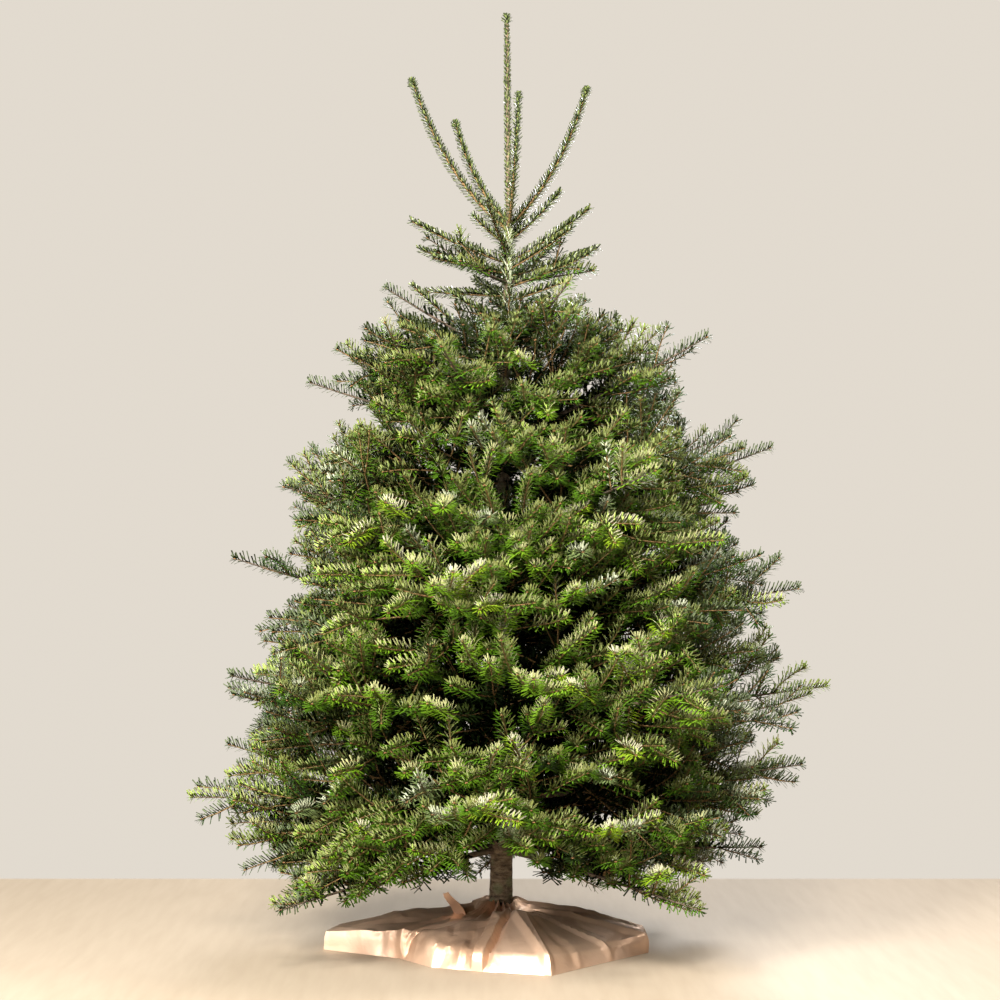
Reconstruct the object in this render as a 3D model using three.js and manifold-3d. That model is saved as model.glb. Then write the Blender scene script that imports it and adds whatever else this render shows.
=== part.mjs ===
// A cut fir tree about 2.15 m tall, as sold for Christmas, standing in a low wrapped stand.
// Millimetres, +Z up, -Y towards the viewer. The origin is on the stand's flat underside, below the trunk.
//
// The tree is built as it grows. The trunk carries whorls of boughs, one whorl for each year. A bough adds
// one shoot a year, and where each year's shoot ends, a pair of side shoots leaves it. A side shoot is
// younger than the bough it leaves, so a bough's foliage is a fan that narrows to its tip. Between the
// pairs, one shoot rises out of the fan and one hangs below it.

import * as THREE from "three";
import { mergeVertices } from "three/addons/utils/BufferGeometryUtils.js";
import Module from "manifold-3d";

const wasm = await Module();
wasm.setup();

// Driving dimensions

const treeHeight = 2150;
const topWhorlHeight = 1661;
const trunkFoot = 12.3;
const trunkSides = 10;
const trunkSteps = 13;
const leanAtTop = 20;
const trunkSway = 5;
const leaderReturn = 4;
const topRadius = 6.2;
const leaderTipRadius = 3.2;
const trunkGirth = 21;
const trunkTaper = 0.85;
const flareRadius = 5;
const flareHeight = 70;
const needlesPastTip = 14;

// Every mass of foliage and every bough stands clear of what carries it by this fit. The room that is cut
// out for the trunk has flat sides, so its corners stand a little further out.
const fit = 0.3;
const roomCorner = 0.05;

// The whorls from the lowest to the one below the top. height is where the boughs leave the trunk and
// tipHeight where they end. left and right are the reach on each side, from the trunk's axis to the
// needle tips. years is a bough's age, bareYears how many of its shoots are bare limb, and turn is the
// compass direction of its first bough, in degrees from the right-hand side.
const whorls = [
  { name: "skirt", height: 228, tipHeight: 196, left: 612, right: 628, boughs: 5, years: 6, bareYears: 2, turn: 14 },
  { name: "low", height: 345, tipHeight: 402, left: 722, right: 700, boughs: 5, years: 6, bareYears: 2, turn: -22 },
  { name: "wide", height: 520, tipHeight: 618, left: 696, right: 774, boughs: 5, years: 6, bareYears: 2, turn: 9 },
  { name: "middle", height: 745, tipHeight: 872, left: 625, right: 700, boughs: 5, years: 5, bareYears: 0, turn: -27 },
  { name: "upper", height: 965, tipHeight: 1112, left: 555, right: 635, boughs: 5, years: 5, bareYears: 0, turn: 5 },
  { name: "shoulder", height: 1180, tipHeight: 1345, left: 458, right: 495, boughs: 5, years: 4, bareYears: 0, turn: -30 },
  { name: "neck", height: 1372, tipHeight: 1478, left: 292, right: 312, boughs: 4, years: 3, bareYears: 0, turn: 20 },
  { name: "crown", height: 1532, tipHeight: 1604, left: 206, right: 216, boughs: 4, years: 2, bareYears: 0, turn: -24 },
];

// The boughs of a whorl stand a little closer to the two sides of the tree than to its front and back, and
// their tips rise and fall by waveRise round the trunk, so that the whorls run into each other.
const sidePull = 12;
const waveRise = 50;
const wavesRound = 3;
const waveStep = 97;

// The four side shoots of the last year, which curve up beside the leader: the height of each one's foot,
// and from there its tip's place to the side, towards the back, and up.
const topShoots = [
  { name: "top_shoot_left", foot: 1650, side: -222, back: 20, rise: 349 },
  { name: "top_shoot_inner", foot: 1668, side: -124, back: 92, rise: 247 },
  { name: "top_shoot_front", foot: 1656, side: 22, back: -118, rise: 284 },
  { name: "top_shoot_right", foot: 1662, side: 181, back: 24, rise: 318 },
];
const elbowOut = 0.66;
const elbowUp = 0.34;
const topStemRadius = 4.2;
const topCoreRadius = 8.6;
const topCoreTaper = 2;
const topHalfWidth = 15;
const topTufts = 5;
const tuftLap = 1.5;
const tuftRolls = [-50, 40];
const leaderTufts = 5;
const leaderSleeve = 4.4;
const leaderBare = 30;
const leaderLap = 0.8;

// The growth rule. Lengths of shoots are shares of a year's growth of the bough that they leave.

const forkAngle = 52;
const forkJitter = 6;
const liftJitter = 5;
const rollJitter = 12;
const sideShare = 0.68;
const youngShare = 0.3;
const slimHalfWidth = 17;
const fanShare = 0.36;
const sprayThickness = 5.6;
const pairLifts = [-13, 25];
const riseAngle = 50;
const riseFrom = 0.3;
const hangAngle = -42;
const hangFrom = 0.5;
const crossAngle = 24;
const crossShare = 0.86;
const lineCurve = 1.22;
const boughFootRadius = 2.4;
const boughYearRadius = 0.95;
const boughTipRadius = 2.2;
const stemShare = 0.94;
const rootDepth = 6;
const nodeDelay = 12;

// A mass's core and the space that a mass keeps to. A spray that doesn't fit is tried at smaller sizes.
const coreWidthShare = 0.27;
const coreHalfHeight = 92;
const coreFrom = 0.1;
const coreTo = 0.82;
const coreEnds = [0.06, 0.92];
const coreGap = 8;
const youngestCored = 3;
const spraySizes = [1, 0.88, 0.76, 0.64, 0.52];
const spaceMargin = 5;
const skirtHang = 105;
const crownRise = 60;
const topRoom = 12;

// Half of a spray's outline, as shares of its length and of its half width: a tooth and the notch beyond
// it, tooth by tooth. Its number of teeth is its place in the list.
const sprayOutlines = [
  [],
  [[0.52, 1], [0.62, 0.32]],
  [[0.38, 1], [0.5, 0.42], [0.72, 0.76]],
];
const sprayMiddle = 0.46;

// The stand: a low frame with four feet, wrapped all over. Corner by corner round it, in degrees from the
// right-hand side: the wrap's reach from the trunk, the height of its upright rim, and the height of the
// fold on the way up to the trunk.
const standCorners = [
  { angle: 350, reach: 343, rim: 40, fold: 80 },
  { angle: 12, reach: 350, rim: 38, fold: 86 },
  { angle: 46, reach: 286, rim: 34, fold: 66 },
  { angle: 82, reach: 336, rim: 40, fold: 84 },
  { angle: 104, reach: 340, rim: 40, fold: 84 },
  { angle: 138, reach: 282, rim: 36, fold: 66 },
  { angle: 168, reach: 392, rim: 40, fold: 84 },
  { angle: 183.4, reach: 405, rim: 42, fold: 86 },
  { angle: 208.6, reach: 259, rim: 64, fold: 78 },
  { angle: 235.8, reach: 264, rim: 30, fold: 66 },
  { angle: 258.7, reach: 266, rim: 24, fold: 84 },
  { angle: 289.7, reach: 327, rim: 38, fold: 105 },
  { angle: 322.6, reach: 288, rim: 34, fold: 74 },
];
const rimInset = 6;
const foldShare = 0.4;
const collarRadius = 62;
const collarHeight = 92;
const neckRadius = 41;
const neckHeight = 100;

// How finely each kind of form is made: the sides round it and the steps along it.
const boughMesh = { sides: 6, steps: 2 };
const stemMesh = { sides: 3, steps: 2 };
const coreMesh = { sides: 6, steps: 2 };
const topShootMesh = { sides: 5, steps: 5 };
const leaderSteps = 4;
const mergeDistance = 1e-4;

// A corner of a core that is out of its space is drawn in by drawInStep, at most so many times.
const drawInStep = 0.15;
const drawInTries = 9;

// The upward part of a direction from which it counts as upright.
const uprightFrom = 0.98;

// Materials

const bark = new THREE.MeshStandardMaterial({ name: "bark", color: 0x5b4a3a, roughness: 0.92, metalness: 0 });
const needles = new THREE.MeshStandardMaterial({ name: "needles", color: 0x3f6a26, roughness: 0.5, metalness: 0 });
const wrap = new THREE.MeshStandardMaterial({ name: "wrap", color: 0xc9a68c, roughness: 0.35, metalness: 0.45 });

// Small helpers

const radians = THREE.MathUtils.degToRad;
const upward = new THREE.Vector3(0, 0, 1);

// A seeded draw between -1 and 1, the same on every run.
function seeded(seed) {
  let state = seed >>> 0;
  return () => {
    state = (Math.imul(state, 1664525) + 1013904223) >>> 0;
    return state / 2147483648 - 1;
  };
}

// A closed three.js geometry as a solid that can be joined and cut.
function solidOf(geometry) {
  geometry.deleteAttribute("normal");
  geometry.deleteAttribute("uv");
  const merged = mergeVertices(geometry, mergeDistance);
  return new wasm.Manifold(
    new wasm.Mesh({
      numProp: 3,
      vertProperties: new Float32Array(merged.attributes.position.array),
      triVerts: new Uint32Array(merged.index.array),
    }),
  );
}

function geometryOf(solid) {
  const mesh = solid.getMesh();
  return new THREE.BufferGeometry()
    .setAttribute("position", new THREE.BufferAttribute(mesh.vertProperties, mesh.numProp))
    .setIndex(new THREE.BufferAttribute(mesh.triVerts, 1));
}

const joined = (solids) => solids.reduce((whole, piece) => whole.add(piece));

// Which way is sideways for something that runs along the given direction: level, and to its left.
function leftOf(along) {
  const reference = Math.abs(along.z) > uprightFrom ? new THREE.Vector3(0, -1, 0) : upward;
  return new THREE.Vector3().crossVectors(reference, along).normalize();
}

// A closed form along a curve: a cylinder whose rings are set along it. sizeAt gives a ring's half width
// and half height, and a corner that isn't inside is drawn in towards the curve.
function swept(curve, sizeAt, { sides, steps }, inside = () => true) {
  const geometry = new THREE.CylinderGeometry(1, 1, 1, sides, steps);
  const position = geometry.attributes.position;
  const point = new THREE.Vector3();
  for (let i = 0; i < position.count; i += 1) {
    point.fromBufferAttribute(position, i);
    const share = point.y + 0.5;
    const tangent = curve.getTangent(share);
    const left = leftOf(tangent);
    const across = new THREE.Vector3().crossVectors(left, tangent);
    const [halfWidth, halfHeight] = sizeAt(share);
    const middle = curve.getPoint(share);
    const placed = middle
      .clone()
      .addScaledVector(left, point.x * halfWidth)
      .addScaledVector(across, point.z * halfHeight);
    for (let tries = 0; tries < drawInTries && !inside(placed); tries += 1) placed.lerp(middle, drawInStep);
    position.setXYZ(i, placed.x, placed.y, placed.z);
  }
  return geometry;
}

// A tapering limb.
function limb(curve, radiusAt, mesh) {
  const sizeAt = (share) => [radiusAt(share), radiusAt(share)];
  return solidOf(swept(curve, sizeAt, mesh));
}

// The trunk

function trunkX(height) {
  const share = Math.min(height / topWhorlHeight, 1);
  const sway = trunkSway * Math.sin(Math.PI * 2 * share);
  const leaderShare = Math.max(0, (height - topWhorlHeight) / (treeHeight - topWhorlHeight));
  return leanAtTop * share * share + sway * (1 - share) - leaderReturn * leaderShare;
}

// Butt swell at the foot, an even taper up to the top whorl, and then last year's slender leader.
function trunkRadius(height) {
  if (height > topWhorlHeight) {
    return THREE.MathUtils.mapLinear(height, topWhorlHeight, treeHeight, topRadius, leaderTipRadius);
  }
  const flare = flareRadius * Math.exp(-(height - trunkFoot) / flareHeight);
  return topRadius + trunkGirth * Math.pow(1 - height / topWhorlHeight, trunkTaper) + flare;
}

class TrunkLine extends THREE.Curve {
  constructor(from, to) {
    super();
    this.from = from;
    this.to = to;
  }
  getPoint(share) {
    const height = THREE.MathUtils.lerp(this.from, this.to, share);
    return new THREE.Vector3(trunkX(height), 0, height);
  }
}

function trunkSolid(from, to, extra, steps) {
  const radiusAt = (share) => trunkRadius(THREE.MathUtils.lerp(from, to, share)) + extra;
  return limb(new TrunkLine(from, to), radiusAt, { sides: trunkSides, steps });
}

const leaderTip = treeHeight - needlesPastTip;
const trunk = trunkSolid(trunkFoot, leaderTip, 0, trunkSteps);
const trunkRoom = trunkSolid(trunkFoot - fit, leaderTip + fit, fit + roomCorner, trunkSteps);

// The boughs

const reachOf = (whorl, azimuth) =>
  (whorl.left + whorl.right) / 2 + ((whorl.right - whorl.left) / 2) * Math.cos(azimuth);
const meanReach = (whorl) => (whorl.left + whorl.right) / 2;

// The height of a whorl's boughs in a direction, at a distance from the trunk's axis.
function lineHeight(whorl, azimuth, distance) {
  const wave = Math.sin(wavesRound * azimuth + radians(waveStep * whorls.indexOf(whorl)));
  const rise = whorl.tipHeight - whorl.height + waveRise * wave;
  return whorl.height + rise * Math.pow(distance / meanReach(whorl), lineCurve);
}

class BoughLine extends THREE.Curve {
  constructor(whorl, azimuth, from, to) {
    super();
    Object.assign(this, { whorl, azimuth, from, to });
  }
  getPoint(share) {
    const distance = THREE.MathUtils.lerp(this.from, this.to, share);
    return new THREE.Vector3(
      trunkX(this.whorl.height) + distance * Math.cos(this.azimuth),
      distance * Math.sin(this.azimuth),
      lineHeight(this.whorl, this.azimuth, distance),
    );
  }
}

// The direction of a bough by its number. Halves are the borders between one bough's foliage and the next.
function azimuthOf(whorl, number) {
  const even = radians(whorl.turn + (360 / whorl.boughs) * number);
  return even - radians(sidePull) * Math.sin(2 * even);
}

const boughRadius = (whorl, share) =>
  THREE.MathUtils.lerp(boughFootRadius + boughYearRadius * whorl.years, boughTipRadius, share);

function boughSolid(whorl, azimuth, end) {
  const radiusAt = (share) => boughRadius(whorl, (share * end) / reachOf(whorl, azimuth));
  return limb(new BoughLine(whorl, azimuth, 0, end), radiusAt, boughMesh).subtract(trunkRoom);
}

// The space that one mass of foliage keeps to: a wedge round its bough, between the whorls below and above.

function spaceOf(level, index) {
  const whorl = whorls[level];
  const borders = [azimuthOf(whorl, index - 0.5), azimuthOf(whorl, index + 0.5)];
  const centre = trunkX(whorl.height);
  const between = (lower, upper, x, y) => {
    const from = trunkX((lower.height + upper.height) / 2);
    const distance = Math.hypot(x - from, y);
    const azimuth = Math.atan2(y, x - from);
    return (lineHeight(lower, azimuth, distance) + lineHeight(upper, azimuth, distance)) / 2;
  };
  return ({ x, y, z }) => {
    const distance = Math.hypot(x - centre, y);
    const azimuth = Math.atan2(y, x - centre);
    if (distance * Math.sin(azimuth - borders[0]) < spaceMargin) return false;
    if (distance * Math.sin(borders[1] - azimuth) < spaceMargin) return false;
    const own = lineHeight(whorl, azimuth, distance);
    const floor = level ? between(whorls[level - 1], whorl, x, y) : own - skirtHang;
    const ceiling = level < whorls.length - 1 ? between(whorl, whorls[level + 1], x, y) : own + crownRise;
    return z > floor + spaceMargin && z < Math.min(ceiling, topWhorlHeight - topRoom) - spaceMargin;
  };
}

// A spray of needles: a flat blade with teeth that lean forward like its side shoots. It is a sphere with
// two bands whose equator follows the toothed outline, so it is thickest in its middle and sharp at its rim.
function spray({ root, along, across, length, halfWidth, teeth }) {
  const half = sprayOutlines[teeth];
  const side = (hand) => half.map(([u, v]) => [u * length, hand * v * halfWidth]);
  const outline = [[0, 0], ...side(-1), [length, 0], ...side(1).reverse()];
  const normal = new THREE.Vector3().crossVectors(along, across);
  const geometry = new THREE.SphereGeometry(1, outline.length, 2);
  const position = geometry.attributes.position;
  const points = [];
  for (let i = 0; i < position.count; i += 1) {
    const band = 1 - Math.floor(i / (outline.length + 1));
    const [u, v] = band ? [sprayMiddle * length, 0] : outline[i % (outline.length + 1) % outline.length];
    const placed = root
      .clone()
      .addScaledVector(along, u)
      .addScaledVector(across, v)
      .addScaledVector(normal, (band * sprayThickness) / 2);
    position.setXYZ(i, placed.x, placed.y, placed.z);
    points.push(placed);
  }
  return { points, geometry };
}

// The direction of a shoot that leaves a stem: turned to the left by fork and raised by lift, in degrees.
function shootFrame(forward, fork, lift, roll) {
  const left = leftOf(forward);
  const up = new THREE.Vector3().crossVectors(forward, left);
  const along = new THREE.Vector3()
    .addScaledVector(forward, Math.cos(radians(fork)) * Math.cos(radians(lift)))
    .addScaledVector(left, Math.sin(radians(fork)) * Math.cos(radians(lift)))
    .addScaledVector(up, Math.sin(radians(lift)));
  const across = leftOf(along).applyAxisAngle(along, radians(roll));
  return { along, across };
}

// One mass: its stem goes on from the bough's tip, or leaves the trunk. On an older bough a flat core
// stands for the dense inner twigs, and the sprays stand out of it: a pair at each node, one that rises
// and one that hangs, and one at the tip.
function massSolid(level, index) {
  const whorl = whorls[level];
  const azimuth = azimuthOf(whorl, index);
  const draw = seeded(100 * level + index + 1);
  const inside = spaceOf(level, index);
  const reach = reachOf(whorl, azimuth);
  const year = reach / whorl.years;
  const from = whorl.bareYears * year;
  const end = reach - year;
  const line = new BoughLine(whorl, azimuth, from ? from + fit : 0, end);
  const radiusAt = (share) => stemShare * boughRadius(whorl, THREE.MathUtils.lerp(from, end, share) / reach);
  const pieces = [limb(line, radiusAt, stemMesh)];

  if (whorl.years >= youngestCored) {
    const coreStart = Math.max(from + coreGap, coreFrom * reach);
    const coreLine = new BoughLine(whorl, azimuth, coreStart, THREE.MathUtils.lerp(from, reach, coreTo));
    const sizeAt = (share) => {
      const swell = Math.sin(Math.PI * THREE.MathUtils.lerp(...coreEnds, share));
      return [coreWidthShare * reach * swell, coreHalfHeight * swell];
    };
    pieces.push(solidOf(swept(coreLine, sizeAt, coreMesh, inside)));
  }

  const wholeLine = new BoughLine(whorl, azimuth, 0, reach);
  const add = (distance, fork, lift, age, share) => {
    const { along, across } = shootFrame(wholeLine.getTangent(distance / reach), fork, lift, rollJitter * draw());
    for (const size of spraySizes) {
      const length = size * share * age * year;
      const made = spray({
        root: wholeLine.getPoint(distance / reach),
        along,
        across,
        length,
        halfWidth: age > 1 ? fanShare * length : slimHalfWidth,
        teeth: age > 1 ? 2 : 1,
      });
      if (made.points.every(inside)) {
        pieces.push(solidOf(made.geometry));
        return;
      }
    }
  };

  add(end - rootDepth, 0, 0, 1, 1 + rootDepth / year);
  for (let node = whorl.bareYears + 1; node < whorl.years; node += 1) {
    const distance = Math.min(node * year + nodeDelay, end - rootDepth);
    const age = whorl.years - node;
    const odd = (node + level) % 2;
    for (const hand of [1, -1]) {
      const lift = pairLifts[hand > 0 ? odd : 1 - odd] + liftJitter * draw();
      add(distance, hand * (forkAngle + forkJitter * draw()), lift, age, sideShare + youngShare / age);
    }
    if (age === 1) continue;
    const cross = odd ? crossAngle : -crossAngle;
    add(distance + riseFrom * year, cross, riseAngle, age, crossShare);
    add(distance + hangFrom * year, -cross, hangAngle, age, crossShare);
  }
  return joined(pieces).subtract(trunkRoom);
}

// A top shoot: slim, curving up from the trunk, with its needles pressed close.
function topShootSolid({ foot: height, side, back, rise }) {
  const foot = new THREE.Vector3(trunkX(height), 0, height);
  const tip = foot.clone().add(new THREE.Vector3(side, back, rise));
  const elbow = foot.clone().add(new THREE.Vector3(elbowOut * side, elbowOut * back, elbowUp * rise));
  const curve = new THREE.QuadraticBezierCurve3(foot, elbow, tip);
  const radiusAt = (share) => (share ? topCoreRadius - topCoreTaper * share : topStemRadius);
  const pieces = [limb(curve, radiusAt, topShootMesh)];
  const length = (tuftLap * curve.getLength()) / topTufts;
  for (let tuft = 0; tuft < topTufts; tuft += 1) {
    const share = (tuft + 0.5) / (topTufts + 1);
    const along = curve.getTangent(share);
    const across = leftOf(along).applyAxisAngle(along, radians(tuftRolls[tuft % 2]));
    const made = spray({ root: curve.getPoint(share), along, across, length, halfWidth: topHalfWidth, teeth: 1 });
    pieces.push(solidOf(made.geometry));
  }
  return joined(pieces).subtract(trunkRoom);
}

// The leader's needles: a sleeve that stands clear of the stem inside it, with rows of toothed sprays.
function leaderSolid() {
  const from = topWhorlHeight + leaderBare;
  const to = treeHeight - needlesPastTip / 2;
  const pieces = [trunkSolid(from, to, leaderSleeve, leaderSteps)];
  const along = new THREE.Vector3(trunkX(to) - trunkX(from), 0, to - from).normalize();
  const step = (treeHeight - from) / leaderTufts;
  for (let tuft = 0; tuft < leaderTufts; tuft += 1) {
    const height = from + rootDepth + leaderLap * tuft * step;
    const across = new THREE.Vector3(1, 0, 0).applyAxisAngle(upward, radians(tuftRolls[tuft % 2]));
    const made = spray({
      root: new THREE.Vector3(trunkX(height), 0, height),
      along,
      across,
      length: tuft < leaderTufts - 1 ? tuftLap * step : treeHeight - height,
      halfWidth: topHalfWidth,
      teeth: 1,
    });
    pieces.push(solidOf(made.geometry));
  }
  return joined(pieces).subtract(trunkRoom);
}

// The stand

function standSolid() {
  const rings = [
    (corner) => [corner.reach, 0],
    (corner) => [corner.reach - rimInset, corner.rim],
    (corner) => [corner.reach * foldShare, corner.fold],
    () => [collarRadius, collarHeight],
    () => [neckRadius, neckHeight],
  ];
  const at = (ring, index) => {
    const corner = standCorners[index % standCorners.length];
    const [radius, height] = rings[ring](corner);
    return new THREE.Vector3(radius, 0, height).applyAxisAngle(upward, radians(corner.angle));
  };
  const floor = new THREE.Vector3(0, 0, 0);
  const top = new THREE.Vector3(0, 0, neckHeight);
  const corners = [];
  for (let i = 0; i < standCorners.length; i += 1) {
    corners.push(floor, at(0, i + 1), at(0, i));
    corners.push(top, at(rings.length - 1, i), at(rings.length - 1, i + 1));
    for (let ring = 0; ring < rings.length - 1; ring += 1) {
      corners.push(at(ring, i), at(ring, i + 1), at(ring + 1, i + 1));
      corners.push(at(ring, i), at(ring + 1, i + 1), at(ring + 1, i));
    }
  }
  return solidOf(new THREE.BufferGeometry().setFromPoints(corners)).subtract(trunkRoom);
}

// The tree

const tree = new THREE.Group();

function addNode(name, solid, material) {
  const mesh = new THREE.Mesh(geometryOf(solid), material);
  mesh.name = name;
  tree.add(mesh);
}

addNode("stand", standSolid(), wrap);
addNode("trunk", trunk, bark);
addNode("leader_needles", leaderSolid(), needles);
for (const shoot of topShoots) addNode(shoot.name, topShootSolid(shoot), needles);

whorls.forEach((whorl, level) => {
  for (let index = 0; index < whorl.boughs; index += 1) {
    const azimuth = azimuthOf(whorl, index);
    const label = `${whorl.name}_${index + 1}`;
    if (whorl.bareYears) {
      const end = (whorl.bareYears * reachOf(whorl, azimuth)) / whorl.years;
      addNode(`bough_${label}`, boughSolid(whorl, azimuth, end), bark);
    }
    addNode(`foliage_${label}`, massSolid(level, index), needles);
  }
});

export default tree;
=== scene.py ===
# %% [markdown]
# # A cut fir in its wrapped stand
#
# This lesson dresses a cut fir, about 2.15 m tall, that stands in a low frame wrapped in satin
# paper. The solids of the frame fix where everything is: the trunk, the whorls of boughs and the
# stand. Every mass of foliage is grown again here, by the same rule as the solids, but down to
# single needles.
#
# The order is: the frame, the camera and the studio, the finishes, the bark, the growth rule, the
# limbs, the top, the needles, the buds, and at last the wrapped stand.

# %% Load the frame
import math

import bpy
import numpy as np
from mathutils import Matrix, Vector


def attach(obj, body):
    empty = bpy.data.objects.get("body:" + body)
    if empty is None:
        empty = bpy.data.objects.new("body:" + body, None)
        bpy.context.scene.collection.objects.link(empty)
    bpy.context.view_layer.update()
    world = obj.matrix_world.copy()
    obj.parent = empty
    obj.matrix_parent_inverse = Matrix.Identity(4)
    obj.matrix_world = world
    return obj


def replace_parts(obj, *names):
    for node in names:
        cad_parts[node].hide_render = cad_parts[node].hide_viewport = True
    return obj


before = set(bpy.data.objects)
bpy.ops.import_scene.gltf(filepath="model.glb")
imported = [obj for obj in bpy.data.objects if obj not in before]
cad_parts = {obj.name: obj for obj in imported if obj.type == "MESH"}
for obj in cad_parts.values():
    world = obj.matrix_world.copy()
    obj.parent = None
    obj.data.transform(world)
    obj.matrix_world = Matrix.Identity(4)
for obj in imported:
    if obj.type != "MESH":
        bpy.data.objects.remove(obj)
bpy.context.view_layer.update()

# %% [markdown]
# ## Camera
#
# A photograph of a whole tree is taken from a few metres away, at about chest height, with the
# camera held level so that the trunk stays upright. The horizon then says how high the camera
# was. The tree could be brought into the frame by tilting the camera, but then upright lines
# would run together, so the frame is shifted instead.

# %% The camera
SENSOR = 36.0
FRAME_PIXELS = 1000
FOCAL_PIXELS = 2170
HORIZON_BELOW_CENTRE = 20
CAMERA_DISTANCE = 5.0
CAMERA_HEIGHT = 0.985

camera_data = bpy.data.cameras.new("camera")
camera_data.sensor_width = SENSOR
camera_data.lens = SENSOR * FOCAL_PIXELS / FRAME_PIXELS
camera_data.shift_y = HORIZON_BELOW_CENTRE / FRAME_PIXELS
camera = bpy.data.objects.new("camera", camera_data)
camera.location = (0.0, -CAMERA_DISTANCE, CAMERA_HEIGHT)
camera.rotation_euler = (math.radians(90), 0, 0)
bpy.context.collection.objects.link(camera)
bpy.context.scene.camera = camera
print("lens", round(camera_data.lens, 1), "mm")

# %% [markdown]
# ## Studio
#
# The tree stands by a tall window on its left, so the strongest light is a soft one from the left
# and the front. A second one, high in front, reaches into the middle of the crown. The stand lies
# in the shade of the boughs, so a wide light at knee height shines in under them. A weaker light
# rounds off the right side, and one behind sets the crown off from the wall.
#
# A fir swallows light between its boughs. Those gaps come partly by themselves where the world
# gives very little light, and partly from the nearly black needles deep in the crown, which are
# painted shade. Only the camera sees the world bright, as a plain pale wall.


# %% Helpers for objects and lights
def put(name, mesh):
    """A new object at the origin, with its place in its mesh."""
    made = bpy.data.objects.new(name, mesh)
    bpy.context.collection.objects.link(made)
    return made


def mesh_of(name, points, faces):
    """A mesh from points and from faces that all have the same number of corners."""
    points = np.asarray(points, dtype=np.float32)
    faces = np.asarray(faces, dtype=np.int32)
    mesh = bpy.data.meshes.new(name)
    mesh.vertices.add(len(points))
    mesh.vertices.foreach_set("co", points.ravel())
    mesh.loops.add(faces.size)
    mesh.loops.foreach_set("vertex_index", faces.ravel())
    mesh.polygons.add(len(faces))
    mesh.polygons.foreach_set("loop_start", np.arange(len(faces), dtype=np.int32) * faces.shape[1])
    mesh.update(calc_edges=True)
    mesh.validate()
    return mesh


def soft_light(name, place, aim, width, height, watts, colour):
    """A rectangle of light at a place, turned to face a point."""
    data = bpy.data.lights.new(name, "AREA")
    data.shape = "RECTANGLE"
    data.size = width
    data.size_y = height
    data.energy = watts
    data.color = colour
    light = put(name, data)
    light.location = place
    light.rotation_euler = (Vector(place) - Vector(aim)).to_track_quat("Z", "Y").to_euler()


print("helpers for meshes and lights:", put.__name__, mesh_of.__name__, soft_light.__name__)

# %% [markdown]
# Materials and Geometry Nodes are both trees of nodes. Written out, each node takes a line to
# make it and one for every input. The helpers below add a node and join its inputs in one call.


# %% Helpers for nodes
def add(tree, kind, inputs=None, **settings):
    """A node with its settings. Its inputs, by name or number, are joined or given values."""
    node = tree.nodes.new(kind)
    for setting, value in settings.items():
        setattr(node, setting, value)
    for key, value in (inputs or {}).items():
        if isinstance(value, bpy.types.NodeSocket):
            tree.links.new(value, node.inputs[key])
        else:
            node.inputs[key].default_value = value
    return node


def maths(tree, operation, first, second=0.0):
    """One sum with one or two numbers."""
    return add(tree, "ShaderNodeMath", {0: first, 1: second}, operation=operation).outputs[0]


def ranged(tree, value, smooth=False, **limits):
    """A value mapped from one range to another, by from_min, from_max, to_min and to_max."""
    named = {key.replace("_", " ").title(): limit for key, limit in limits.items()}
    kind = "SMOOTHSTEP" if smooth else "LINEAR"
    node = add(tree, "ShaderNodeMapRange", {"Value": value, **named}, interpolation_type=kind)
    return node.outputs["Result"]


def mixed(tree, share, first, second):
    """Two colours, mixed by a share."""
    node = add(tree, "ShaderNodeMix", {"Factor": share, 6: first, 7: second}, data_type="RGBA")
    return node.outputs[2]


print("helpers for nodes:", add.__name__, maths.__name__, ranged.__name__, mixed.__name__)

# %% Lights, world and floor
CROWN_MIDDLE = (0, 0, 0.95)
STAND_FRONT = (-0.1, -0.2, 0.05)
LIGHTS = (
    # name, place, aim, width, height, watts, colour
    ("window_light", (-2.2, -3.7, 3.0), CROWN_MIDDLE, 1.1, 1.5, 490, (1.0, 0.98, 0.93)),
    ("front_light", (-0.4, -4.6, 3.9), CROWN_MIDDLE, 1.0, 0.9, 330, (1.0, 0.96, 0.90)),
    ("low_light", (-2.5, -2.3, 0.75), STAND_FRONT, 2.2, 1.1, 66, (1.0, 0.99, 0.98)),
    ("right_light", (3.1, -1.2, 3.8), CROWN_MIDDLE, 1.2, 1.6, 140, (1.0, 0.95, 0.9)),
    ("back_light", (0.9, 3.8, 3.0), CROWN_MIDDLE, 2.0, 1.4, 230, (0.96, 0.98, 1.0)),
)
for row in LIGHTS:
    soft_light(*row)

WALL_COLOUR = (0.95, 0.88, 0.78, 1)
WALL_BRIGHTNESS = 0.80
ROOM_BRIGHTNESS = 0.045
world = bpy.data.worlds.new("studio")
world.use_nodes = True
background = world.node_tree.nodes["Background"]
background.inputs["Color"].default_value = WALL_COLOUR
seen = add(world.node_tree, "ShaderNodeLightPath").outputs["Is Camera Ray"]
strength = ranged(world.node_tree, seen, to_min=ROOM_BRIGHTNESS, to_max=WALL_BRIGHTNESS)
world.node_tree.links.new(strength, background.inputs["Strength"])
bpy.context.scene.world = world
bpy.context.scene.view_settings.view_transform = "Standard"

FLOOR_RADIUS = 14.0
FLOOR_SIDES = 96
turn = np.linspace(0, 2 * np.pi, FLOOR_SIDES, endpoint=False)
rim = np.stack([FLOOR_RADIUS * np.cos(turn), FLOOR_RADIUS * np.sin(turn), np.zeros(FLOOR_SIDES)], 1)
floor = put("floor", mesh_of("floor", rim, [np.arange(FLOOR_SIDES)]))
floor.location.z = -0.0005  # a hair below the stand, so that the two don't share a plane
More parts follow.
